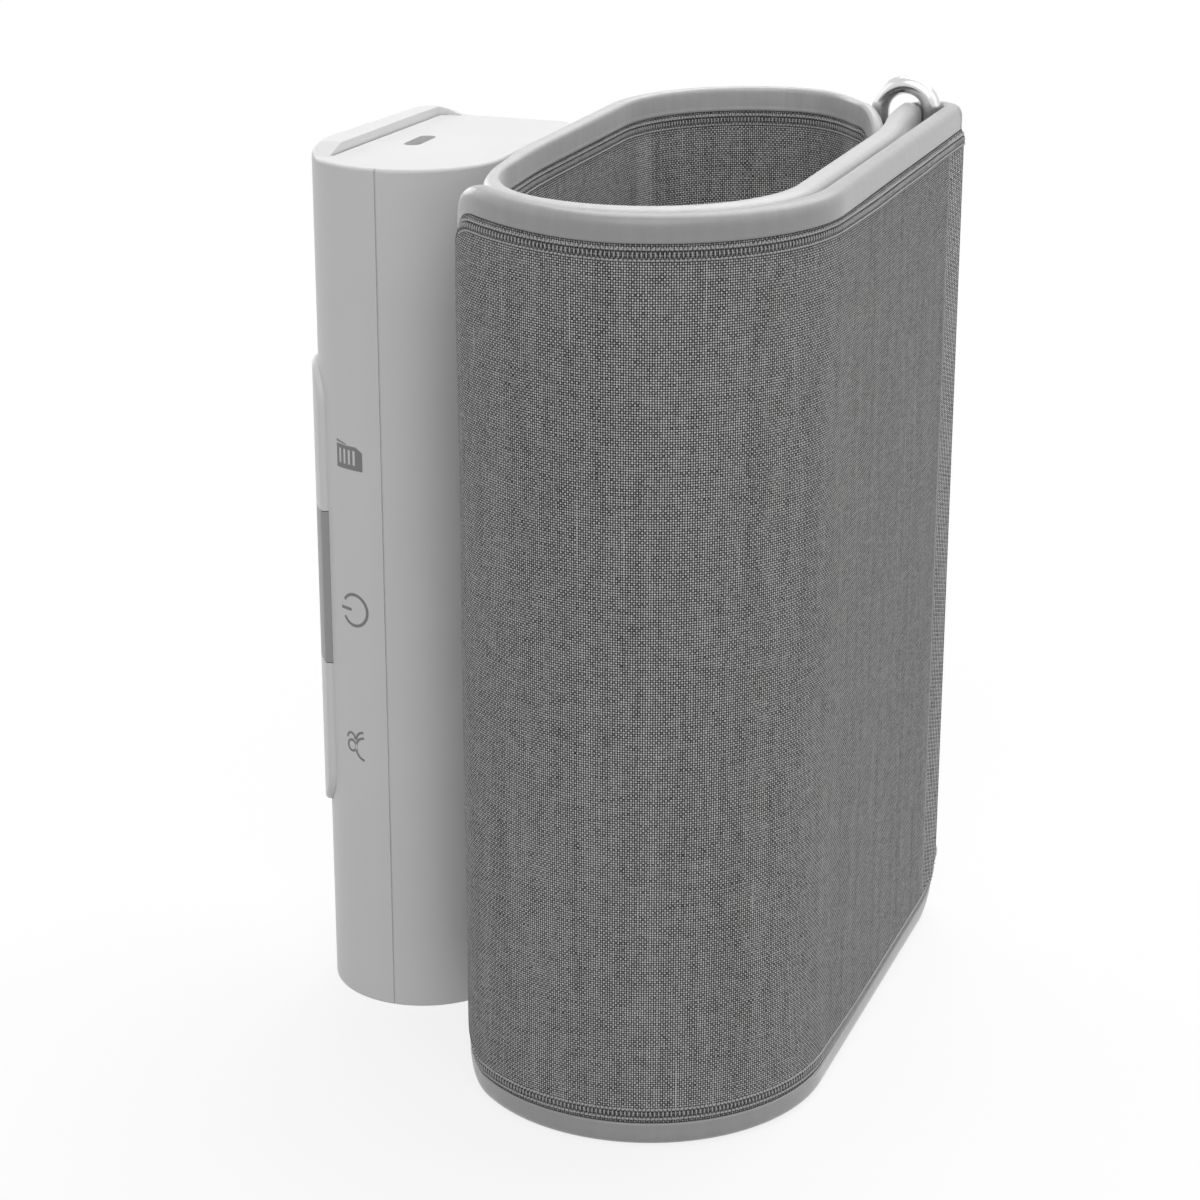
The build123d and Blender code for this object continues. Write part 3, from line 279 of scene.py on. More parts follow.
def close_mesh(bm, me):
    """Turns the faces outward and writes the mesh."""
    bmesh.ops.recalc_face_normals(bm, faces=bm.faces)
    bm.to_mesh(me)
    bm.free()


def new_mesh(name, points, faces, cloth=None):
    """Object from points in millimetres.
    cloth is (along, up, distance from the seam) of each point in its flat cut."""
    me = bpy.data.meshes.new(name)
    me.from_pydata((np.asarray(points) * MM).tolist(), [], faces)
    if cloth is not None:
        attribute = me.attributes.new("cloth", "FLOAT_VECTOR", "POINT")
        attribute.data.foreach_set("vector", np.asarray(cloth, np.float32).ravel())
    me.polygons.foreach_set("use_smooth", [True] * len(me.polygons))
    me.update()
    return put_in_scene(name, me)


def dress(ob, material):
    ob.data.materials.clear()
    ob.data.materials.append(material)
    return ob


def skin(name, material, rings, cloth, first=0, last=None):
    """Closed skin through rings of points, (rings, points, 3), cut from ring first to ring last.
    Normals come from the whole skin, so pieces cut from it meet without a visible line."""
    count, around = rings.shape[:2]
    last = count - 1 if last is None else last
    du = np.gradient(rings, axis=0)
    dv = np.roll(rings, -1, axis=1) - np.roll(rings, 1, axis=1)
    normal = np.cross(dv, du)
    normal /= np.maximum(np.linalg.norm(normal, axis=2, keepdims=True), 1e-9)
    part, flat_cloth = rings[first:last + 1], cloth[first:last + 1]
    rows = part.shape[0]
    index = np.arange(rows * around).reshape(rows, around)
    a, b = index[:-1], index[1:]
    quads = np.stack([a, b, np.roll(b, -1, axis=1), np.roll(a, -1, axis=1)], axis=-1).reshape(-1, 4)
    faces = [*quads.tolist(), index[0].tolist(), index[-1][::-1].tolist()]
    ob = new_mesh(name, part.reshape(-1, 3), faces, flat_cloth.reshape(-1, 3))
    me = ob.data
    bm = bmesh.new()
    bm.from_mesh(me)
    close_mesh(bm, me)
    # outward means away from the skin's middle line
    middle = rings.mean(axis=1, keepdims=True)
    if ((rings - middle) * normal).sum() < 0:
        normal = -normal
    me.normals_split_custom_set_from_vertices(normal[first:last + 1].reshape(-1, 3).tolist())
    return dress(ob, material)


def stations(length, step, extra=()):
    """Evenly spaced distances along a track that also hit the given ones."""
    marks = sorted({0.0, length, *[m for m in extra if 0 < m < length]})
    out = []
    for a, b in zip(marks[:-1], marks[1:]):
        count = max(1, int(math.ceil((b - a) / step)))
        out.extend(np.linspace(a, b, count, endpoint=False))
    return np.array(out + [length])


def place(tr, s, out, z, shift=None):
    """Points at distances s, offsets out and heights z from a track; arrays of one shape."""
    p, n = tr.at(s)
    points = np.stack([p[..., 0] + n[..., 0] * out, p[..., 1] + n[..., 1] * out, z], axis=-1)
    return shift(points, s, z) if shift else points


def columns(s, *values):
    """Each value as a column with a row for each station."""
    return (np.broadcast_to(np.asarray(value, float), s.shape)[:, None] for value in values)


def flat(s, z):
    return np.zeros(np.broadcast(s, z).shape)


def relief(s, z, depth, seed, proud=flat):
    """How far a sheet's outer face stands out: slow waves, gathers at the seam and its bulge.
    Waves grow from nothing at the sheet's start, so that it meets the one before. No seed: no waves."""
    bulge = proud(s, z) * np.sqrt(np.clip(depth / 1.5, 0, 1))
    if seed is None:
        return bulge
    waves = WAVE * ripple(s, z, seed) + GATHER * pucker(s, np.maximum(depth, 0), seed + 1)
    return bulge + waves * smooth(s / WAVES_FROM) * np.clip(depth / 3, 0, 1)


def sheet_rings(tr, s, inner, outer, low, high, seed, rows=48, shift=None, proud=flat):
    """Rings of a thin upright sheet: up its outer face and down its inner face.
    proud gives how far the sheet bulges out between its seams, from distance and height."""
    up = np.linspace(0, 1, rows)
    S, V = np.meshgrid(s, np.concatenate([up, up[::-1]]), indexing="ij")
    low, high, inner, outer = columns(s, low, high, inner, outer)
    Z = low + (high - low) * V
    depth = np.minimum(Z - low, high - Z) - TUCK
    out = np.where(np.arange(2 * rows) < rows, outer, inner) + relief(S, Z, depth, seed, proud)
    return place(tr, S, out, Z, shift), np.stack([S, Z, depth], axis=-1)


# section of a tape, as (share of half its thickness, share of its height), from the root up and over the rim
TAPE_OUTSIDE = [
    (0.80, -0.015), (0.93, 0.0), (1.0, 0.035), (1.01, 0.09),
    (1.0, 0.16), (0.985, 0.2), (1.0, 0.26), (1.01, 0.42),
]
TAPE_CREST = [
    (0.995, 0.56), (0.955, 0.66), (0.875, 0.75), (0.745, 0.83), (0.56, 0.90), (0.31, 0.95),
    (0.02, 0.982), (-0.28, 0.997), (-0.54, 1.0), (-0.74, 0.985), (-0.89, 0.945), (-0.975, 0.875),
    (-1.0, 0.78), (-1.01, 0.62),
]
TAPE_OUTER = np.array(TAPE_OUTSIDE + TAPE_CREST + [(-x, y) for x, y in TAPE_OUTSIDE[::-1]])


def tape_profile(thick):
    """Section of a folded tape as (out, share of height), along its outer face and back along its inner one,
    with the distance run at each point."""
    outer = TAPE_OUTER * [thick / 2, 1]
    inner = outer[1:-1][::-1] * [1 - 2 * TAPE_T / thick, 1 - TAPE_T / BINDING_H]
    profile = np.concatenate([outer, inner])
    return profile, run_length(profile * [1, BINDING_H])


def binding_rings(tr, s, thick, root, rim, seed, shift=None):
    """Rings of an edge binding: a folded tape, round over the rim, with its seam near the root."""
    profile, length = tape_profile(thick)
    S, K = np.meshgrid(s, np.arange(len(profile)), indexing="ij")
    root, rim = columns(s, root, rim)
    Z = root + (rim - root) * profile[K, 1]
    out = profile[K, 0] * (1 + 0.012 * ripple(S, Z, seed))
    return place(tr, S, out, Z, shift), np.stack([S, length[K], profile[K, 0]], axis=-1)


def rim_rings(tr, rim, thick, into, shift=None):
    """Rings of a folded tape along any line of (distance, height) points on the cloth's outline.
    into is 1 where the cloth lies to the right of the way along, -1 where it lies to the left."""
    step = unit(np.gradient(rim, axis=0))
    inward = into * np.stack([step[:, 1], -step[:, 0]], axis=1)
    thick, run = columns(rim[:, 0], thick, run_length(rim))
    profile, length = tape_profile(thick.max())
    depth = BINDING_H * (1 - profile[:, 1])
    S = rim[:, None, 0] + inward[:, None, 0] * depth[None]
    Z = rim[:, None, 1] + inward[:, None, 1] * depth[None]
    out = profile[None, :, 0] * (thick / thick.max())
    cloth = np.stack(np.broadcast_arrays(run, length[None], out), axis=-1)
    return place(tr, S, out, Z, shift), cloth


def thread(points, radius, sides=5):
    """Tube along a few points, thin at both ends: vertices and faces."""
    points = np.array(points, float)
    tangent = unit(np.gradient(points, axis=0))
    ref = np.array([0, 0, 1.0]) if abs(tangent[0, 2]) < 0.9 else np.array([1.0, 0, 0])
    a = unit(np.cross(tangent, ref))
    b = np.cross(tangent, a)
    width = radius * np.sqrt(np.clip(1 - np.linspace(-0.93, 0.93, len(points)) ** 2, 0, 1))
    turn = np.arange(sides) * 2 * math.pi / sides
    ring = np.cos(turn)[None, :, None] * a[:, None] + np.sin(turn)[None, :, None] * b[:, None]
    verts = (points[:, None] + ring * width[:, None, None]).reshape(-1, 3)
    index = np.arange(len(verts)).reshape(len(points), sides)
    p, q = index[:-1], index[1:]
    faces = np.stack([p, q, np.roll(q, -1, 1), np.roll(p, -1, 1)], axis=-1).reshape(-1, 4).tolist()
    return verts, faces + [index[0].tolist(), index[-1][::-1].tolist()]


def gather(name, material, parts):
    """One object from many small (vertices, faces) parts."""
    verts, faces, base = [], [], 0
    for v, f in parts:
        verts.append(v)
        faces.extend([[i + base for i in face] for face in f])
        base += len(v)
    return dress(new_mesh(name, np.concatenate(verts), faces), material)


def cover_stitch(tr, start, end, edge, face, shift=None):
    """Coverstitch along the top and the bottom: two needle rows and looper threads that ladder between them.
    edge gives the binding's root height, face the cloth's offset from the track and which way it faces."""
    parts = []

    def sew(s, z, depth, lift, radius):
        out, side = face(s, z, depth)
        parts.append(thread(place(tr, s, out + side * np.array(lift), z, shift), radius))

    row = np.array([-STITCH_HALF, -0.1, 0.1, STITCH_HALF])
    between = np.linspace(STITCH_ROWS[0] + 0.34, STITCH_ROWS[1] - 0.30, 4)
    for top in (True, False):
        inward = -1 if top else 1
        for i in range(math.ceil(start / STITCH_PITCH), math.ceil(end / STITCH_PITCH)):
            s0 = i * STITCH_PITCH
            root = edge(s0, top)
            for depth in STITCH_ROWS:
                sew(s0 + row, np.full(4, root + inward * depth), depth, (-0.02, 0.08, 0.08, -0.02), NEEDLE_R)
            middle = np.full(4, s0 + STITCH_PITCH / 2)
            sew(middle, root + inward * between, between, (0.0, 0.07, 0.07, 0.0), LOOPER_R)
    return parts


def root_height(top, low, drop=0.0):
    """Height of a binding's root, from the lower edge's height and how far a corner has come in."""
    return CUFF_H - BINDING_H - drop if top else low + BINDING_H + drop


# ---- shader helpers ----
WARP_PITCH = 0.355
WEFT_PITCH = 0.37
HEM_STRETCH = 0.68


class Graph:
    """Node tree of a new material or of a world, with short calls for the nodes used here."""

    def __init__(self, owner):
        self.mat = bpy.data.materials.new(owner) if isinstance(owner, str) else owner
        self.mat.use_nodes = True
        self.tree = self.mat.node_tree
        self.bsdf = self.tree.nodes.get("Principled BSDF")

    def node(self, kind, **settings):
        made = self.tree.nodes.new(kind)
        for key, value in settings.items():
            setattr(made, key, value)
        return made

    def put(self, value, socket):
        """Links a socket or sets a number or a colour."""
        if isinstance(value, bpy.types.NodeSocket):
            self.tree.links.new(value, socket)
        else:
            socket.default_value = value

    def fill(self, made, *values, **named):
        """Sets a node's inputs in their order and by name. Returns its first output."""
        for value, socket in zip(values, made.inputs):
            self.put(value, socket)
        for key, value in named.items():
            self.put(value, made.inputs[key.replace("_", " ")])
        return made.outputs[0]

    def calc(self, operation, a, b=0.0):
        return self.fill(self.node("ShaderNodeMath", operation=operation), a, b)

    add = partialmethod(calc, "ADD")
    less = partialmethod(calc, "SUBTRACT")
    times = partialmethod(calc, "MULTIPLY")
    over = partialmethod(calc, "DIVIDE")
    floor = partialmethod(calc, "FLOOR")
    part = partialmethod(calc, "FRACT")
    size = partialmethod(calc, "ABSOLUTE")

    def mix(self, factor, a, b):
        made = self.node("ShaderNodeMix", data_type="RGBA")
        self.put(factor, made.inputs[0])
        self.put(a, made.inputs[6])
        self.put(b, made.inputs[7])
        return made.outputs[2]

    def span(self, value, low, high, to_low=0.0, to_high=1.0):
        return self.fill(self.node("ShaderNodeMapRange"), value, low, high, to_low, to_high)

    def noise(self, vector, scale, detail=2.0, rough=0.5):
        made = self.node("ShaderNodeTexNoise")
        return self.fill(made, Vector=vector, Scale=scale, Detail=detail, Roughness=rough)

    def white(self, x, y):
        """A random tone for each pair of whole numbers."""
        return self.fill(self.node("ShaderNodeTexWhiteNoise", noise_dimensions="2D"), self.vector(x, y, 0.0))

    def vector(self, x, y, z):
        return self.fill(self.node("ShaderNodeCombineXYZ"), x, y, z)

    def split(self, vector):
        made = self.node("ShaderNodeSeparateXYZ")
        self.put(vector, made.inputs[0])
        return tuple(made.outputs)

    def position(self):
        """The point on the object, in metres; every body stands at the origin at rest."""
        return self.node("ShaderNodeTexCoord").outputs["Object"]

    def seen(self):
        """1 for the camera, in reflections and through glass, 0 for light on its way to other things."""
        path = self.node("ShaderNodeLightPath")
        camera, glossy, through = (path.outputs[f"Is {ray} Ray"] for ray in ("Camera", "Glossy", "Transmission"))
        return self.calc("MAXIMUM", camera, self.calc("MAXIMUM", glossy, through))

    def cloth(self):
        made = self.node("ShaderNodeAttribute", attribute_name="cloth")
        return self.split(made.outputs["Vector"])

    def bump(self, height, distance):
        return self.fill(self.node("ShaderNodeBump"), Strength=1.0, Distance=distance * MM, Height=height)

    def finish(self, color, rough, normal=None, **fixed):
        """Fills in the shader. Returns the material."""
        self.fill(self.bsdf, Base_Color=color, Roughness=rough, **fixed)
        if normal is not None:
            self.put(normal, self.bsdf.inputs["Normal"])
        return self.mat


def grey(level):
    return (level, level, level, 1)


def weave(name, dark, light, streak=1.0, bump=0.12, hem=None, painted_sheens=()):
    """Plain weave of melange yarn: every thread has its own tone and fades in and out along its length.
    Up to the distance hem the cloth is pulled wide, so that its upright threads stand apart.
    Each painted sheen is an upright band made lighter, painted light where the cloth bends and catches the
    light: its place along the cloth, half width and strength."""
    g = Graph(name)
    x, y, depth = g.cloth()
    hemmed = g.span(x, hem, hem + 0.12, 1.0, 0.0) if hem is not None else 0.0
    along = x
    x = g.times(x, g.less(1.0, g.times(hemmed, HEM_STRETCH)))
    u, v = g.over(x, WARP_PITCH), g.over(y, WEFT_PITCH)
    iu, iv = g.floor(u), g.floor(v)
    # the warp lies on top where the two indices add up to an odd number
    warp = g.size(g.calc("MODULO", g.add(iu, iv), 2.0))
    hump_u = g.calc("SINE", g.times(g.part(u), math.pi))
    hump_v = g.calc("SINE", g.times(g.part(v), math.pi))
    over = g.times(g.calc("POWER", hump_u, 0.8), g.calc("POWER", hump_v, 0.7))
    # tone of each thread, slowly changing along it
    warp_tone = g.noise(g.vector(g.times(iu, 7.31), g.times(y, 0.16), 0.0), 1.0, 3.0, 0.7)
    weft_tone = g.noise(g.vector(g.times(x, 0.35), g.times(iv, 5.17), 3.0), 1.0, 2.0, 0.6)
    tone = g.add(g.times(warp_tone, warp), g.times(weft_tone, g.less(1.0, warp)))
    tone = g.add(g.times(g.less(tone, 0.5), 0.95), g.times(g.white(iu, iv), 0.24))
    # long pale streaks along the warp, a few of them sharp, and darker flecks
    broad = g.noise(g.vector(g.times(x, 0.45), g.times(y, 0.014), 1.0), 1.0, 3.0, 0.6)
    rare = g.noise(g.vector(g.times(x, 1.9), g.times(y, 0.035), 9.0), 1.0, 1.0)
    rare = g.times(g.span(rare, 0.73, 0.79), g.noise(g.vector(x, g.times(y, 0.5), 2.0), 1.0, 2.0))
    fleck = g.noise(g.vector(g.times(x, 0.9), g.times(y, 0.16), 5.0), 1.0, 3.0, 0.7)
    tone = g.add(tone, g.times(g.less(broad, 0.5), 0.40 * streak))
    tone = g.add(tone, g.times(g.less(fleck, 0.5), 0.25 * streak))
    tone = g.add(tone, g.times(rare, 1.3 * streak))
    tone = g.add(tone, g.times(warp, 0.38))
    if hem is not None:
        ridge = g.span(g.size(g.less(along, hem)), 0.15, 0.7, 0.35, 0.0)
        tone = g.add(tone, g.add(ridge, g.times(hemmed, 0.12)))
    # painted sheen: each band lightens the tone where the cloth bends and catches the light
    for middle, reach, strength in painted_sheens:
        away = g.size(g.less(along, middle))
        tone = g.add(tone, g.span(away, reach * 0.25, reach, strength, 0.0))
    # painted shade: each thread is darkened towards its edges, where it dips under the threads beside it
    lit = g.times(over, g.add(tone, 0.52))
    # painted shade: the cloth is darkened beside the seam and between the needle rows, where it is pressed down
    # into grooves
    seam_gap_shade = g.span(depth, 0.1, 0.5, 0.32, 1.0)
    row = g.size(g.less(depth, sum(STITCH_ROWS) / 2))
    ladder = g.span(row, 0.62, 1.0, 0.42, 1.0)
    shade = g.times(seam_gap_shade, ladder)
    color = g.mix(g.times(g.span(lit, 0.17, 0.86), shade), grey(dark), grey(light))
    height = g.add(over, g.times(shade, 1.5))
    sheen = {"Sheen_Weight": 0.1, "Sheen_Roughness": 0.5}
    return g.finish(color, 0.86, g.bump(height, bump), Specular_IOR_Level=0.2, **sheen)


def tape(name, base):
    """Smooth, closely knitted binding tape with a soft sheen and faint creases across it."""
    g = Graph(name)
    x, y, _ = g.cloth()
    rib = g.calc("SINE", g.times(y, 2 * math.pi / 0.3))
    grain = g.noise(g.vector(g.times(x, 3.2), g.times(y, 3.0), 0.0), 1.0, 3.0, 0.6)
    crease = g.noise(g.vector(g.times(x, 0.55), g.times(y, 0.09), 4.0), 1.0, 4.0, 0.65)
    tone = g.add(g.times(grain, 0.25), g.times(crease, 0.75))
    color = g.mix(g.span(tone, 0.32, 0.68), grey(base * 0.93), grey(base * 1.07))
    height = g.add(g.times(rib, 0.12), g.add(grain, g.times(crease, 2.5)))
    return g.finish(
        color, g.span(grain, 0.3, 0.7, 0.40, 0.50), g.bump(height, 0.016),
        Sheen_Weight=1.0, Sheen_Roughness=0.30, Coat_Weight=0.5, Coat_Roughness=0.3, Coat_IOR=1.6,
    )


def plastic(name, base, low=0.38, high=0.52, mottle=1.0, grain=0.012):
    """Satin moulded plastic with a fine spark-eroded grain and slow tone changes."""
    g = Graph(name)
    p = g.position()
    fine = g.noise(p, 5200.0, 2.0, 0.6)
    cloud = g.noise(p, 60.0, 3.0, 0.55)
    tone = g.add(g.times(cloud, 0.55), g.times(fine, 0.45))
    dark, light = base * (1 - 0.022 * mottle), min(1.0, base * (1 + 0.022 * mottle))
    color = g.mix(g.span(tone, 0.35, 0.65), grey(dark), grey(light))
    rough = g.span(g.add(g.times(cloud, 0.6), g.times(fine, 0.4)), 0.3, 0.7, low, high)
    return g.finish(color, rough, g.bump(fine, grain), Specular_IOR_Level=0.3)


def metal(name, base, rough=0.08):
    g = Graph(name)
    p = g.position()
    wear = g.noise(p, 900.0, 3.0, 0.6)
    color = g.mix(g.span(wear, 0.35, 0.7), grey(base), grey(base * 0.93))
    return g.finish(color, g.span(wear, 0.35, 0.75, rough, rough + 0.05), g.bump(wear, 0.003), Metallic=1.0)


def soft(name, base, scale=900.0, depth=0.05, rough=0.8):
    """Matt rubber, foil or foam with a fine grain."""
    g = Graph(name)
    p = g.position()
    fine = g.noise(p, scale, 3.0, 0.6)
    dark, light = (tuple(min(1.0, c * share) for c in base[:3]) + (1,) for share in (0.9, 1.1))
    color = g.mix(g.span(fine, 0.3, 0.7), dark, light)
    return g.finish(color, g.span(fine, 0.3, 0.7, rough - 0.08, min(1.0, rough + 0.08)), g.bump(fine, depth))


def hooks(name, base):
    """Hook tape: staggered rows of small hooks."""
    g = Graph(name)
    x, y, _ = g.cloth()
    u, v = g.over(x, 1.25), g.over(y, 0.9)
    u = g.add(u, g.times(g.calc("MODULO", g.size(g.floor(v)), 2.0), 0.5))
    du = g.less(g.part(u), 0.5)
    dv = g.less(g.part(v), 0.5)
    far = g.calc("SQRT", g.add(g.times(du, du), g.times(dv, dv)))
    hook = g.span(far, 0.18, 0.36, 1.0, 0.0)
    color = g.mix(hook, grey(base * 0.55), grey(base * 1.2))
    return g.finish(color, 0.6, g.bump(hook, 0.3))


def pile(name, base):
    """Brushed loop pile."""
    g = Graph(name)
    x, y, _ = g.cloth()
    v = g.vector(x, y, 0.0)
    curl = g.noise(v, 3.4, 4.0, 0.75)
    lay = g.noise(v, 0.22, 2.0)
    tone = g.add(g.times(curl, 0.75), g.times(lay, 0.25))
    color = g.mix(g.span(tone, 0.32, 0.66), grey(base * 0.6), grey(base * 1.3))
    return g.finish(color, 0.92, g.bump(curl, 0.35), Sheen_Weight=0.3, Sheen_Roughness=0.6)


CASE = plastic("case_plastic", 0.80)
FABRIC = weave("strap_weave", 0.02, 0.88, hem=8.3)
# the lining has two painted sheens, upright bands made lighter where it bends; its light tone, above the
# cover's, is painted light that lifts the shaded inside of the loop
LINING = weave("lining_weave", 0.03, 0.98, streak=1.2, painted_sheens=((60.5, 3.2, 0.2), (15.0, 3.6, 0.3)))
TAPE = tape("binding_tape", 0.36)
# painted light: the same tape as the strap's bindings, given a lighter colour for the light that the cuff's rims
# catch at grazing angles
CUFF_TAPE_PAINTED_LIGHT = tape("cuff_tape", 0.58)
THREAD = soft("stitch_thread", grey(0.52), 6000.0, 0.02, 0.75)
HOOK = hooks("hook_tape", 0.26)
PILE = pile("loop_pile", 0.17)
FILM = soft("bladder_film", grey(0.25), 700.0, 0.02, 0.5)


# ---- cuff: cover, lining, bindings and stitching ----
def cuff_low(s):
    """Height of the cuff's lower edge: it rises where the front runs through the ring."""
    p, _ = cuff_track.at(s)
    rise = smooth((LIFT_START_X - p[..., 0]) / (LIFT_START_X - LIFT_END_X)) * LIFT
    return np.where(s > cuff_track.length / 2, rise, 0.0)


def corner_drop(past, radius):
    """How far an edge with round corners has come in, from the distance past the corner's start."""
    return radius - np.sqrt(np.maximum(radius**2 - np.clip(past, 0, radius) ** 2, 0))


def slim(s):
    """Share of its thickness that the cuff keeps: less on the near side and on the flap at its far end."""
    flap = 1 - smooth((s - FLAP_THIN_FROM) / (FLAP_THIN_TO - FLAP_THIN_FROM))
    return (1 - NEAR_SIDE_THIN * near_side(cuff_track.at(s)[0])) * (1 - FLAP_THIN * flap)


def corner_points(radius):
    """A quarter of a circle, from where it leaves the top edge (0, 0) to the end at (radius, -radius)."""
    turn = np.radians(np.linspace(0, 90, 22))[1:]
    return [(radius * math.sin(a), radius * (math.cos(a) - 1)) for a in turn]


def flap_rim(edge, toward):
    """Outline of the cuff from the middle of its far end, round the corner and along one edge."""
    rest = cuff_s[cuff_s > FLAP_CORNER_R]
    middle = CUFF_H / 2
    end = [(0.0, z) for z in np.arange(middle, edge - toward * FLAP_CORNER_R, toward * 1.0)]
    corner = [(FLAP_CORNER_R - x, edge + toward * z) for x, z in corner_points(FLAP_CORNER_R)[::-1]]
    along = [(s, edge + float(cuff_low(s)) * (toward < 0)) for s in rest]
    return np.array(end + corner + along)


INSET = BINDING_H - TUCK
cuff_s = stations(cuff_track.length, 0.9, (INSET,))
cloth_s = cuff_s[cuff_s >= INSET - 1e-6]
cuff_in = INSET + corner_drop(FLAP_CORNER_R - cloth_s, FLAP_CORNER_R - INSET)
half = FABRIC_T / 2 * slim(cloth_s)
cover_in, lining_in = half * (1 - 2 * COVER_T / FABRIC_T), half * (1 - 2 * LINING_T / FABRIC_T)
cuff_edges = (cuff_low(cloth_s) + cuff_in, CUFF_H - cuff_in)
COVER_SEED, LINING_SEED = 11, 23
cover_rings = sheet_rings(cuff_track, cloth_s, cover_in, half, *cuff_edges, COVER_SEED)
cuff_cover = skin("cuff_cover_cloth", FABRIC, *cover_rings)
lining_rings = sheet_rings(cuff_track, cloth_s, -half, -lining_in, *cuff_edges, LINING_SEED)
cuff_lining = skin("cuff_lining_cloth", LINING, *lining_rings)
rims = {"top": flap_rim(CUFF_H, 1), "bottom": flap_rim(0.0, -1)}
top_binding, bottom_binding = (
    skin(f"cuff_{edge}_tape", CUFF_TAPE_PAINTED_LIGHT, *rim_rings(cuff_track, rim, BINDING_T * slim(rim[:, 0]), into))
    for (edge, rim), into in zip(rims.items(), (1, -1))
)


def cuff_edge(s, top):
    """Height of the binding's root on the cuff, also round the flap's corners."""
    drop = float(corner_drop(FLAP_CORNER_R - s, FLAP_CORNER_R - BINDING_H))
    return root_height(top, float(cuff_low(s)), drop)


def cuff_face(side, seed):
    """The offset of the cuff's outer (1) or inner (-1) cloth, for the stitches on it."""
    def face(s, z, depth):
        return side * FABRIC_T / 2 * slim(s) + relief(s, z, depth, seed), side
    return face


stitch_parts = []
for face in (cuff_face(1, COVER_SEED), cuff_face(-1, LINING_SEED)):
    stitch_parts += cover_stitch(cuff_track, FLAP_STITCH, cuff_track.length - 1, cuff_edge, face)
bladder_s = cuff_s[(cuff_s > BLADDER_INSET[0]) & (cuff_s < cuff_track.length - BLADDER_INSET[1])]
bladder_edges = (BLADDER_MARGIN, CUFF_H - BLADDER_MARGIN)
bladder_rings = sheet_rings(cuff_track, bladder_s, -BLADDER_T / 2, BLADDER_T / 2, *bladder_edges, 47)
cuff_bladder = skin("cuff_bladder_film", FILM, *bladder_rings)
cuff_stitches = gather("cuff_stitching", THREAD, stitch_parts)

pad_track = leaning_in(track(
    arc(LOOP_NEAR, LOOP_R, LOOP_PAD_START, 90),
    line((LOOP_NEAR[0], FRONT_Y), (LOOP_PAD_END_X, FRONT_Y)),
))
pad_edges = (LOOP_PAD_MARGIN, CUFF_H - LOOP_PAD_MARGIN)
pad_faces = (FABRIC_T / 2 - 0.1, FABRIC_T / 2 + LOOP_PAD_T)
pad_rings = sheet_rings(pad_track, stations(pad_track.length, 1.2), *pad_faces, *pad_edges, 41)
loop_pad = skin("loop_pad_pile", PILE, *pad_rings)

for piece, node, slot in (
    (cuff_cover, "cuff_cover", "fabric"),
    (cuff_lining, "cuff_lining", "lining"),
    (top_binding, "cuff_top_binding", "binding"),
    (bottom_binding, "cuff_bottom_binding", "binding"),
    (cuff_stitches, None, "binding"),
    (cuff_bladder, "air_bladder", "bladder"),
    (loop_pad, "loop_pad", "hook"),
):
    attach(piece, "cuff_and_case")
    if node:
        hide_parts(node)

# ---- tab that holds the ring: a strip on the cuff's outside that goes round the fixed bar and back ----
wrap_r = RING_WIRE_FIT + TAB_T / 2


def tab_run(lift):
    """A layer of the tab on the cuff's outer face; its end is tucked under the cover."""
    def radius(angles):
        tucked = 1 - smooth((TAB_FROM - angles) / 6.0)
        return flap_radius(angles) + FABRIC_T / 2 + lift - TAB_TUCK * tucked
    return spiral(LOOP_FAR, radius, TAB_FROM, BAR_ANGLE + TAB_LEAD)


outer_run, inner_run = (tab_run(lift) for lift in TAB_LIFTS)
inner_run = (inner_run[0][::-1], inner_run[1])
wrap = arc(bar, wrap_r, BAR_ANGLE + TAB_TURN, BAR_ANGLE - 180 - TAB_TURN)
wrap_points = np.concatenate([outer_run[0], wrap[0][2:-2], inner_run[0]])
for _ in range(14):
    wrap_points[1:-1] = 0.5 * wrap_points[1:-1] + 0.25 * (wrap_points[:-2] + wrap_points[2:])
toward = wrap_points - bar
reach = np.linalg.norm(toward, axis=1)
wrap_points = np.where((reach < wrap_r)[:, None], bar + toward / reach[:, None] * wrap_r, wrap_points)
tab_track = Track(wrap_points, np.gradient(wrap_points, axis=0))
tab_s, tab_edges = stations(tab_track.length, 0.3), (TAB_MARGIN, CUFF_H - TAB_MARGIN)
tab_rings = sheet_rings(tab_track, tab_s, -TAB_T / 2, TAB_T / 2, *tab_edges, 53, rows=40)
ring_tab = skin("ring_tab_cloth", LINING, *tab_rings)
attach(ring_tab, "cuff_and_case")
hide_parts("ring_sleeve")


# ---- strap: fold round the free bar, then the part that lies on the cuff ----
def strap_low(s):
    """The strap's lower edge rises at the fold, where it comes out of the ring."""
    p, _ = strap_track.at(s)
    t = np.clip((LOW_END_X - p[..., 0]) / (LOW_END_X - RING_X), 0, 1)
    return LIFT * (1 - np.sqrt(1 - t * t))


tip_s = strap_track.length
corner_start = tip_s - TIP_CORNER_R


def towards_tip(s, before, over):
    """0 up to a distance before the free end, then smoothly up to 1 over another distance."""
    return smooth((s - (tip_s - before)) / over)


def strap_shift(points, s, z):
    """The free end stands a little higher and hugs the cuff, and its last millimetres bend in round it."""
    _, n = strap_track.at(s)
    off = -END_IN * towards_tip(s, 60, 50)
    off = off - TIP_HUG * np.clip((s - corner_start) / TIP_CORNER_R, 0, 1) ** 2
    off = off - TIP_CURL * np.clip((s - (tip_s - TIP_CURL_RUN)) / TIP_CURL_RUN, 0, 1) ** 1.5
    up = TIP_RISE * towards_tip(s, 38, 26) * smooth(z / CUFF_H)
    return points + np.stack([n[..., 0] * off, n[..., 1] * off, up], axis=-1)


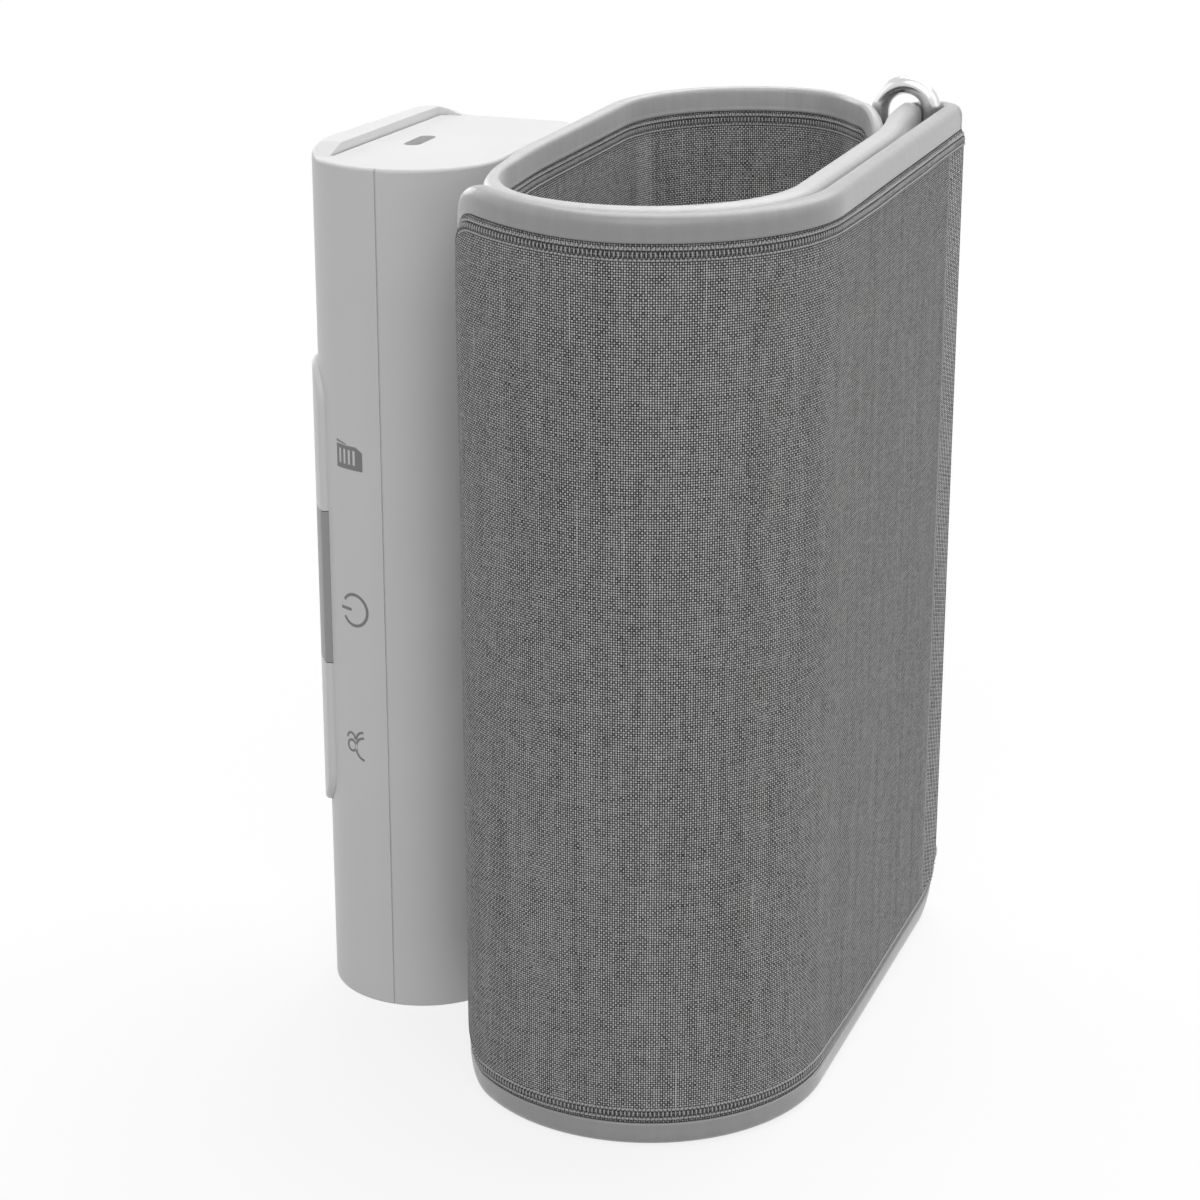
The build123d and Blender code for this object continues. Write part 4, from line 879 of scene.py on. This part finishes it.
straight_s = -RING_X + TAIL_MID[0]
end_joint_s, tip_joint_s = (
    straight_s + math.radians(90 - split) * TAIL_R for split in (TAIL_SPLIT, TIP_SPLIT)
)
mid_end = (end_joint_s + tip_joint_s) / 2
cut_one = end_joint_s - (mid_end - end_joint_s)
fabric_stop = tip_s - INSET
strap_s = stations(tip_s, 0.7, (cut_one, mid_end, fabric_stop, corner_start))
cuts = [0, *(int(np.argmin(abs(strap_s - cut))) for cut in (cut_one, mid_end)), len(strap_s) - 1]
fabric_s = strap_s[strap_s <= fabric_stop + 1e-6]
fabric_in = INSET + corner_drop(fabric_s - corner_start, TIP_CORNER_R - INSET)
STRAP_SEED = 61
SEGMENTS = ("strap", "strap_end", "strap_tip")
strap_outer = STRAP_T / 2 - STRAP_FACE
LAYERS = (
    ("cloth", strap_outer - OUTER_T, strap_outer, FABRIC, "fabric", STRAP_SEED, "fabric"),
    ("hooks", -STRAP_T / 2 + HOOKS_IN, strap_outer - OUTER_T, HOOK, "hook", 67, "hook_pad"),
)
strap_pieces = {}


def strap_proud(s, z):
    """How far the strap's cloth stands out: most on the straight run, at the fold and at the tip."""
    straight = (SIDE_PROUD - STRAP_PROUD) * (1 - smooth((s - 52.0) / 24.0))
    fold = (FOLD_PROUD - SIDE_PROUD) * (1 - smooth(s / WAVES_FROM))
    tip = TIP_PROUD * towards_tip(s, 34, 26) * (0.75 + 0.25 * smooth(z / CUFF_H))
    return STRAP_PROUD + straight + fold + tip


segment_cuts = list(zip(SEGMENTS, cuts, cuts[1:]))
for layer, inner, outer, material, slot, seed, node in LAYERS:
    rings, cloth = sheet_rings(
        strap_track, fabric_s, inner, outer, strap_low(fabric_s) + fabric_in, CUFF_H - fabric_in, seed,
        shift=strap_shift, proud=strap_proud if layer == "cloth" else flat,
    )
    for body, first, last in segment_cuts:
        piece = skin(f"{body}_{layer}", material, rings, cloth, first, min(last, len(fabric_s) - 1))
        strap_pieces[body, layer] = (piece, slot, f"{body}_{node}")


def tip_rim(first):
    """Outline of the tip: along the top, down the free end round two corners, and back along the bottom."""
    straight = [(s, CUFF_H) for s in np.arange(strap_s[first], corner_start, 0.8)]
    corner = [(corner_start + x, CUFF_H + z) for x, z in corner_points(TIP_CORNER_R)]
    end = [(tip_s, z) for z in np.arange(CUFF_H - TIP_CORNER_R - 1.0, TIP_CORNER_R, -1.0)]
    upper = straight + [(corner_start, CUFF_H)] + corner
    lower = [(s, CUFF_H - z) for s, z in upper[::-1]]
    return np.array(upper + end + lower)


low_edge = strap_low(strap_s)
for body, first, last in segment_cuts[:2]:
    for edge, root, rim, seed in (
        ("top", CUFF_H - BINDING_H, CUFF_H, 71),
        ("bottom", low_edge + BINDING_H, low_edge, 73),
    ):
        rings, cloth = binding_rings(strap_track, strap_s, STRAP_T, root, rim, seed, strap_shift)
        piece = skin(f"{body}_{edge}_tape", TAPE, rings[first:last + 1], cloth[first:last + 1])
        strap_pieces[body, f"{edge}_tape"] = (piece, "binding", f"{body}_binding")
tip_rings = rim_rings(strap_track, tip_rim(cuts[2]), STRAP_T, 1, strap_shift)
strap_pieces["strap_tip", "tape"] = (skin("strap_tip_tape", TAPE, *tip_rings), "binding", "strap_tip_binding")


def bound_edge(s, top):
    """Root height of the binding, also round the tip's corners."""
    drop = float(corner_drop(s - corner_start, TIP_CORNER_R - BINDING_H))
    return root_height(top, float(strap_low(s)), drop)


def strap_face(s, z, depth):
    """The offset of the strap's cloth, for the stitches on it."""
    return strap_outer + relief(s, z, depth, STRAP_SEED, strap_proud), 1


for body, first, last in segment_cuts:
    end = strap_s[last] if body != "strap_tip" else corner_start + CORNER_STITCH
    parts = cover_stitch(strap_track, strap_s[first], end, bound_edge, strap_face, strap_shift)
    strap_pieces[body, "stitching"] = (gather(f"{body}_stitching", THREAD, parts), "binding", None)

# fold round the bar
FOLD_TAPE_T = 3.0
FOLD_GAP, FOLD_CLOTH_T = 0.15, 1.2
fold_s = stations(fold_track.length, 0.35)
fold_share = smooth(fold_s / fold_track.length)
# from the cuff's thickness to the strap's
fold_outer = np.interp(fold_share, (0, 1), (FABRIC_T / 2 + FOLD_GAP, strap_outer))
fold_middle = np.interp(fold_share, (0, 1), (FABRIC_T / 2 - FOLD_CLOTH_T, strap_outer - OUTER_T))
FOLD_LAYERS = (
    ("strap_fold_cloth", fold_middle, fold_outer, FABRIC, "fabric"),
    ("strap_fold_lining", -FABRIC_T / 2, fold_middle, LINING, "lining"),
)
fold_pieces = []


def fold_proud(s, z):
    """The bulge of the strap's cloth begins on the way round the bar."""
    return FOLD_PROUD * smooth(s / fold_track.length * 1.4) + flat(s, z)


def fold_face(s, z, depth):
    """The offset of the fold's outer cloth, for the stitches on it."""
    return np.interp(s, fold_s, fold_outer) + fold_proud(s, z) * np.sqrt(np.clip(depth / 1.5, 0, 1)), 1


for name, inner, outer, material, slot in FOLD_LAYERS:
    rings, cloth = sheet_rings(
        fold_track, fold_s, inner, outer, LIFT + INSET, CUFF_H - INSET, None,
        proud=fold_proud if material is FABRIC else flat,
    )
    fold_pieces.append((skin(name, material, rings, cloth - np.array([fold_track.length, 0, 0])), slot))
for edge, root, rim in (("top", CUFF_H - BINDING_H, CUFF_H), ("bottom", LIFT + BINDING_H, LIFT)):
    tape_rings = binding_rings(fold_track, fold_s, FOLD_TAPE_T, root, rim, 89)
    fold_pieces.append((skin(f"strap_fold_{edge}_tape", TAPE, *tape_rings), "binding"))
fold_stitches = gather("strap_fold_stitching", THREAD, cover_stitch(
    fold_track, 1.0, fold_track.length, lambda s, top: root_height(top, LIFT), fold_face
))
for n, (piece, slot) in enumerate([*fold_pieces, (fold_stitches, "binding")]):
    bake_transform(piece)
    if n == 0:
        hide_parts("strap_fold")


def blend_over(piece, s_from, s_to):
    """Bakes a piece of the strap's transform into its mesh; the points found at the two distances along the
    strap are not used, and the piece is not bent.
    """
    start, end = ((x * MM, y * MM, 0) for x, y in strap_track.at(np.array([s_from, s_to]))[0])
    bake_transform(piece)


for (body, layer), (piece, slot, node) in strap_pieces.items():
    if body == "strap":
        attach(piece, "strap")
    elif body == "strap_end":
        blend_over(piece, cut_one, mid_end)
    else:
        blend_over(piece, mid_end, 2 * tip_joint_s - mid_end)
    if node:
        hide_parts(node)


# ---- printed icons beside the buttons: thin ink on the round side ----
INK = soft("icon_ink", grey(0.26), 4000.0, 0.01, 0.6)
INK_T, INK_LIFT = 0.04, 0.012
STROKE = 0.4


def on_nose(points, y_mid, z_mid):
    """A flat drawing wrapped on the nose: its x runs round, its y up and its z out."""
    angle = math.asin((y_mid - NOSE[1]) / NOSE_R) + points[:, 0] / NOSE_R
    radius = NOSE_R + points[:, 2]
    around = (NOSE[0] + radius * np.cos(angle), NOSE[1] + radius * np.sin(angle))
    return np.stack([*around, z_mid + points[:, 1]], axis=1)


def drawing(name, splines, y_mid, z_mid):
    """Filled flat outlines, with holes, as thin ink that follows the nose. Outlines are in millimetres."""
    curve = bpy.data.curves.new(name, "CURVE")
    curve.dimensions = "2D"
    curve.fill_mode = "BOTH"
    curve.extrude = INK_T / 2
    for outline in splines:
        spline = curve.splines.new("POLY")
        spline.points.add(len(outline) - 1)
        for point, (x, y) in zip(spline.points, outline):
            point.co = (x, y, 0, 1)
        spline.use_cyclic_u = True
    sketch = put_in_scene(name, curve)
    bpy.context.view_layer.update()
    me = bpy.data.meshes.new_from_object(sketch)
    bpy.data.objects.remove(sketch)
    bm = bmesh.new()
    bm.from_mesh(me)
    for x in np.arange(-4, 4, 0.35):
        everything = bm.verts[:] + bm.edges[:] + bm.faces[:]
        bmesh.ops.bisect_plane(bm, geom=everything, plane_co=(x, 0, 0), plane_no=(1, 0, 0))
    bmesh.ops.remove_doubles(bm, verts=bm.verts, dist=1e-4)
    co = np.array([v.co for v in bm.verts])
    co[:, 2] += INK_LIFT
    for v, p in zip(bm.verts, on_nose(co, y_mid, z_mid) * MM):
        v.co = Vector(p)
    close_mesh(bm, me)
    return put_in_scene(name, me)


def turned(cx, cy, r, angles):
    return [(cx + r * math.cos(a), cy + r * math.sin(a)) for a in np.radians(angles)]


def stroke_arc(cx, cy, r, width, start, end):
    """Outline of a thick arc with square ends."""
    angles = np.linspace(start, end, 28)
    return turned(cx, cy, r + width / 2, angles) + turned(cx, cy, r - width / 2, angles[::-1])


def ring_outlines(cx, cy, r, width):
    """Outer and inner circle of a drawn ring."""
    angles = np.linspace(0, 360, 24, endpoint=False)
    return [turned(cx, cy, q, angles) for q in (r + width / 2, r - width / 2)]


def bar_outline(x0, y0, x1, y1):
    return [(x0, y0), (x1, y0), (x1, y1), (x0, y1)]


card = [(-2.8, -2.5), (2.8, -2.5), (2.8, 0.6), (1.5, 1.4), (-0.5, 1.35), (-2.8, 1.45)]
card_tab = [(-2.8, 1.75), (-0.5, 1.5), (-0.5, 1.62), (-2.8, 2.1)]
slits = [bar_outline(x - 0.26, -1.7, x + 0.26, 0.75) for x in (-2.0, -0.97, 0.06, 1.09)]
power_ring = stroke_arc(0.3, 0, 2.65, STROKE + 0.1, -148, 148)
power_bar = bar_outline(-2.75, -0.25, -0.35, 0.25)
front_shoulder = stroke_arc(2.1, -0.2, 1.95, STROKE, 95, 265)
rear_head = stroke_arc(-0.95, 1.25, 0.9, STROKE, -5, 185)
rear_shoulder = stroke_arc(1.85, 1.1, 1.6, STROKE, 92, 180)
front_head = ring_outlines(-0.8, -0.05, 0.95, STROKE)
for name, outlines, y_mid, z_mid in (
    ("memory_icon", [card, card_tab] + slits, -6.15, 95.6),
    ("power_icon", [power_ring, power_bar], -6.1, 69.4),
    ("user_icon", front_head + [front_shoulder, rear_head, rear_shoulder], -6.4, 45.6),
):
    icon = dress(drawing(name, outlines, y_mid, z_mid), INK)
    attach(icon, "cuff_and_case")


# ---- finishes of the solids ----
def window_glass():
    """Dark acrylic with the display's lighter field showing through it."""
    g = Graph("window_glass")
    p = g.position()
    x, _, z = g.split(p)
    across = g.size(g.less(x, -0.008))
    up = g.size(g.less(z, 0.094))
    inside = g.times(g.span(across, 0.0078, 0.0080, 1.0, 0.0), g.span(up, 0.0280, 0.0282, 1.0, 0.0))
    dust = g.noise(p, 1500.0, 4.0, 0.7)
    color = g.mix(inside, grey(0.012), grey(0.045))
    return g.finish(color, g.span(dust, 0.3, 0.75, 0.06, 0.12), Coat_Weight=0.6, Coat_Roughness=0.04)


FINISHES = {
    "case_plastic": CASE,
    "light_button": plastic("light_button", 0.82, 0.34, 0.46, 0.6),
    "dark_button": plastic("dark_button", 0.42, 0.36, 0.48, 0.8),
    "window": window_glass(),
    "lcd": soft("lcd_glass", grey(0.10), 800.0, 0.003, 0.2),
    "black_plastic": plastic("black_plastic", 0.03, 0.4, 0.55),
    "board": soft("circuit_board", (0.02, 0.10, 0.05), 1400.0, 0.02, 0.45),
    "chip": plastic("chip_black", 0.02, 0.45, 0.6),
    "steel": metal("steel", 0.55, 0.25),
    "cell": soft("battery_foil", grey(0.5), 300.0, 0.03, 0.4),
    "rubber": soft("rubber", grey(0.03), 1500.0, 0.02, 0.75),
    "white_plastic": plastic("white_plastic", 0.72, 0.35, 0.5),
    "chrome": metal("chrome", 0.68, 0.18),
    "bladder": FILM,
}
slot_of = {part["node"]: part["material_slot"] for part in frame["record"]["subparts"]}
for name, ob in nodes.items():
    if not ob.hide_render:
        dress(ob, FINISHES[slot_of[name]])


# ---- floor, light and camera ----
def floor_paint():
    """Pale floor that shows white to the camera and in reflections, and keeps a soft part of the shadow."""
    g = Graph("floor_paint")
    g.tree.nodes.remove(g.bsdf)
    looks = []
    for level, glow, share in ((0.40, 0.32, 0.5), (1.0, 1.0, 0.80)):
        matt = g.fill(g.node("ShaderNodeBsdfDiffuse"), grey(level))
        lamp = g.fill(g.node("ShaderNodeEmission"), grey(1.0), glow)
        looks.append(g.fill(g.node("ShaderNodeMixShader"), share, matt, lamp))
    whole = g.fill(g.node("ShaderNodeMixShader"), g.seen(), *looks)
    g.put(whole, g.tree.nodes["Material Output"].inputs["Surface"])
    return g.mat


bm = bmesh.new()
bmesh.ops.create_circle(bm, cap_ends=True, segments=96, radius=6.0)
floor_mesh = bpy.data.meshes.new("floor")
bm.to_mesh(floor_mesh)
bm.free()
floor = put_in_scene("floor", floor_mesh)
floor.location = (0, 0, -0.0001)
dress(floor, floor_paint())

# white behind the object and in reflections, a weak fill light for the rest
studio = Graph(bpy.data.worlds.new("studio"))
bpy.context.scene.world = studio.mat
strength = studio.span(studio.seen(), 0.0, 1.0, 0.22, 1.0)
studio.fill(studio.tree.nodes["Background"], grey(1.0), strength)


def soft_sun(name, toward, strength, spread):
    """Wide, even studio light from one direction."""
    lamp = bpy.data.lights.new(name, "SUN")
    lamp.energy = strength
    lamp.angle = math.radians(spread)
    put_in_scene(name, lamp).rotation_euler = Vector(toward).to_track_quat("Z", "Y").to_euler()


soft_sun("top_light", (-0.55, 0.10, 0.83), 1.8, 60)
soft_sun("front_light", (0.72, 0.22, 0.66), 0.90, 50)
soft_sun("right_light", (0.05, 0.85, 0.55), 0.35, 60)
soft_sun("left_light", (0.35, -1.0, 0.30), 0.34, 60)
soft_sun("back_light", (-0.60, -0.80, 0.20), 0.6, 30)

camera = bpy.data.cameras.new("camera")
camera.lens = 91.02
camera.sensor_width = 36.0
camera.sensor_fit = "HORIZONTAL"
camera.clip_start = 0.01
view = put_in_scene("camera", camera)
view.location = (0.4445, 0.1890, 0.2329)
view.rotation_euler = (math.radians(90 - 19.27), 0, math.atan2(0.9403, -0.3404))
bpy.context.scene.camera = view
bpy.context.scene.view_settings.view_transform = "Standard"
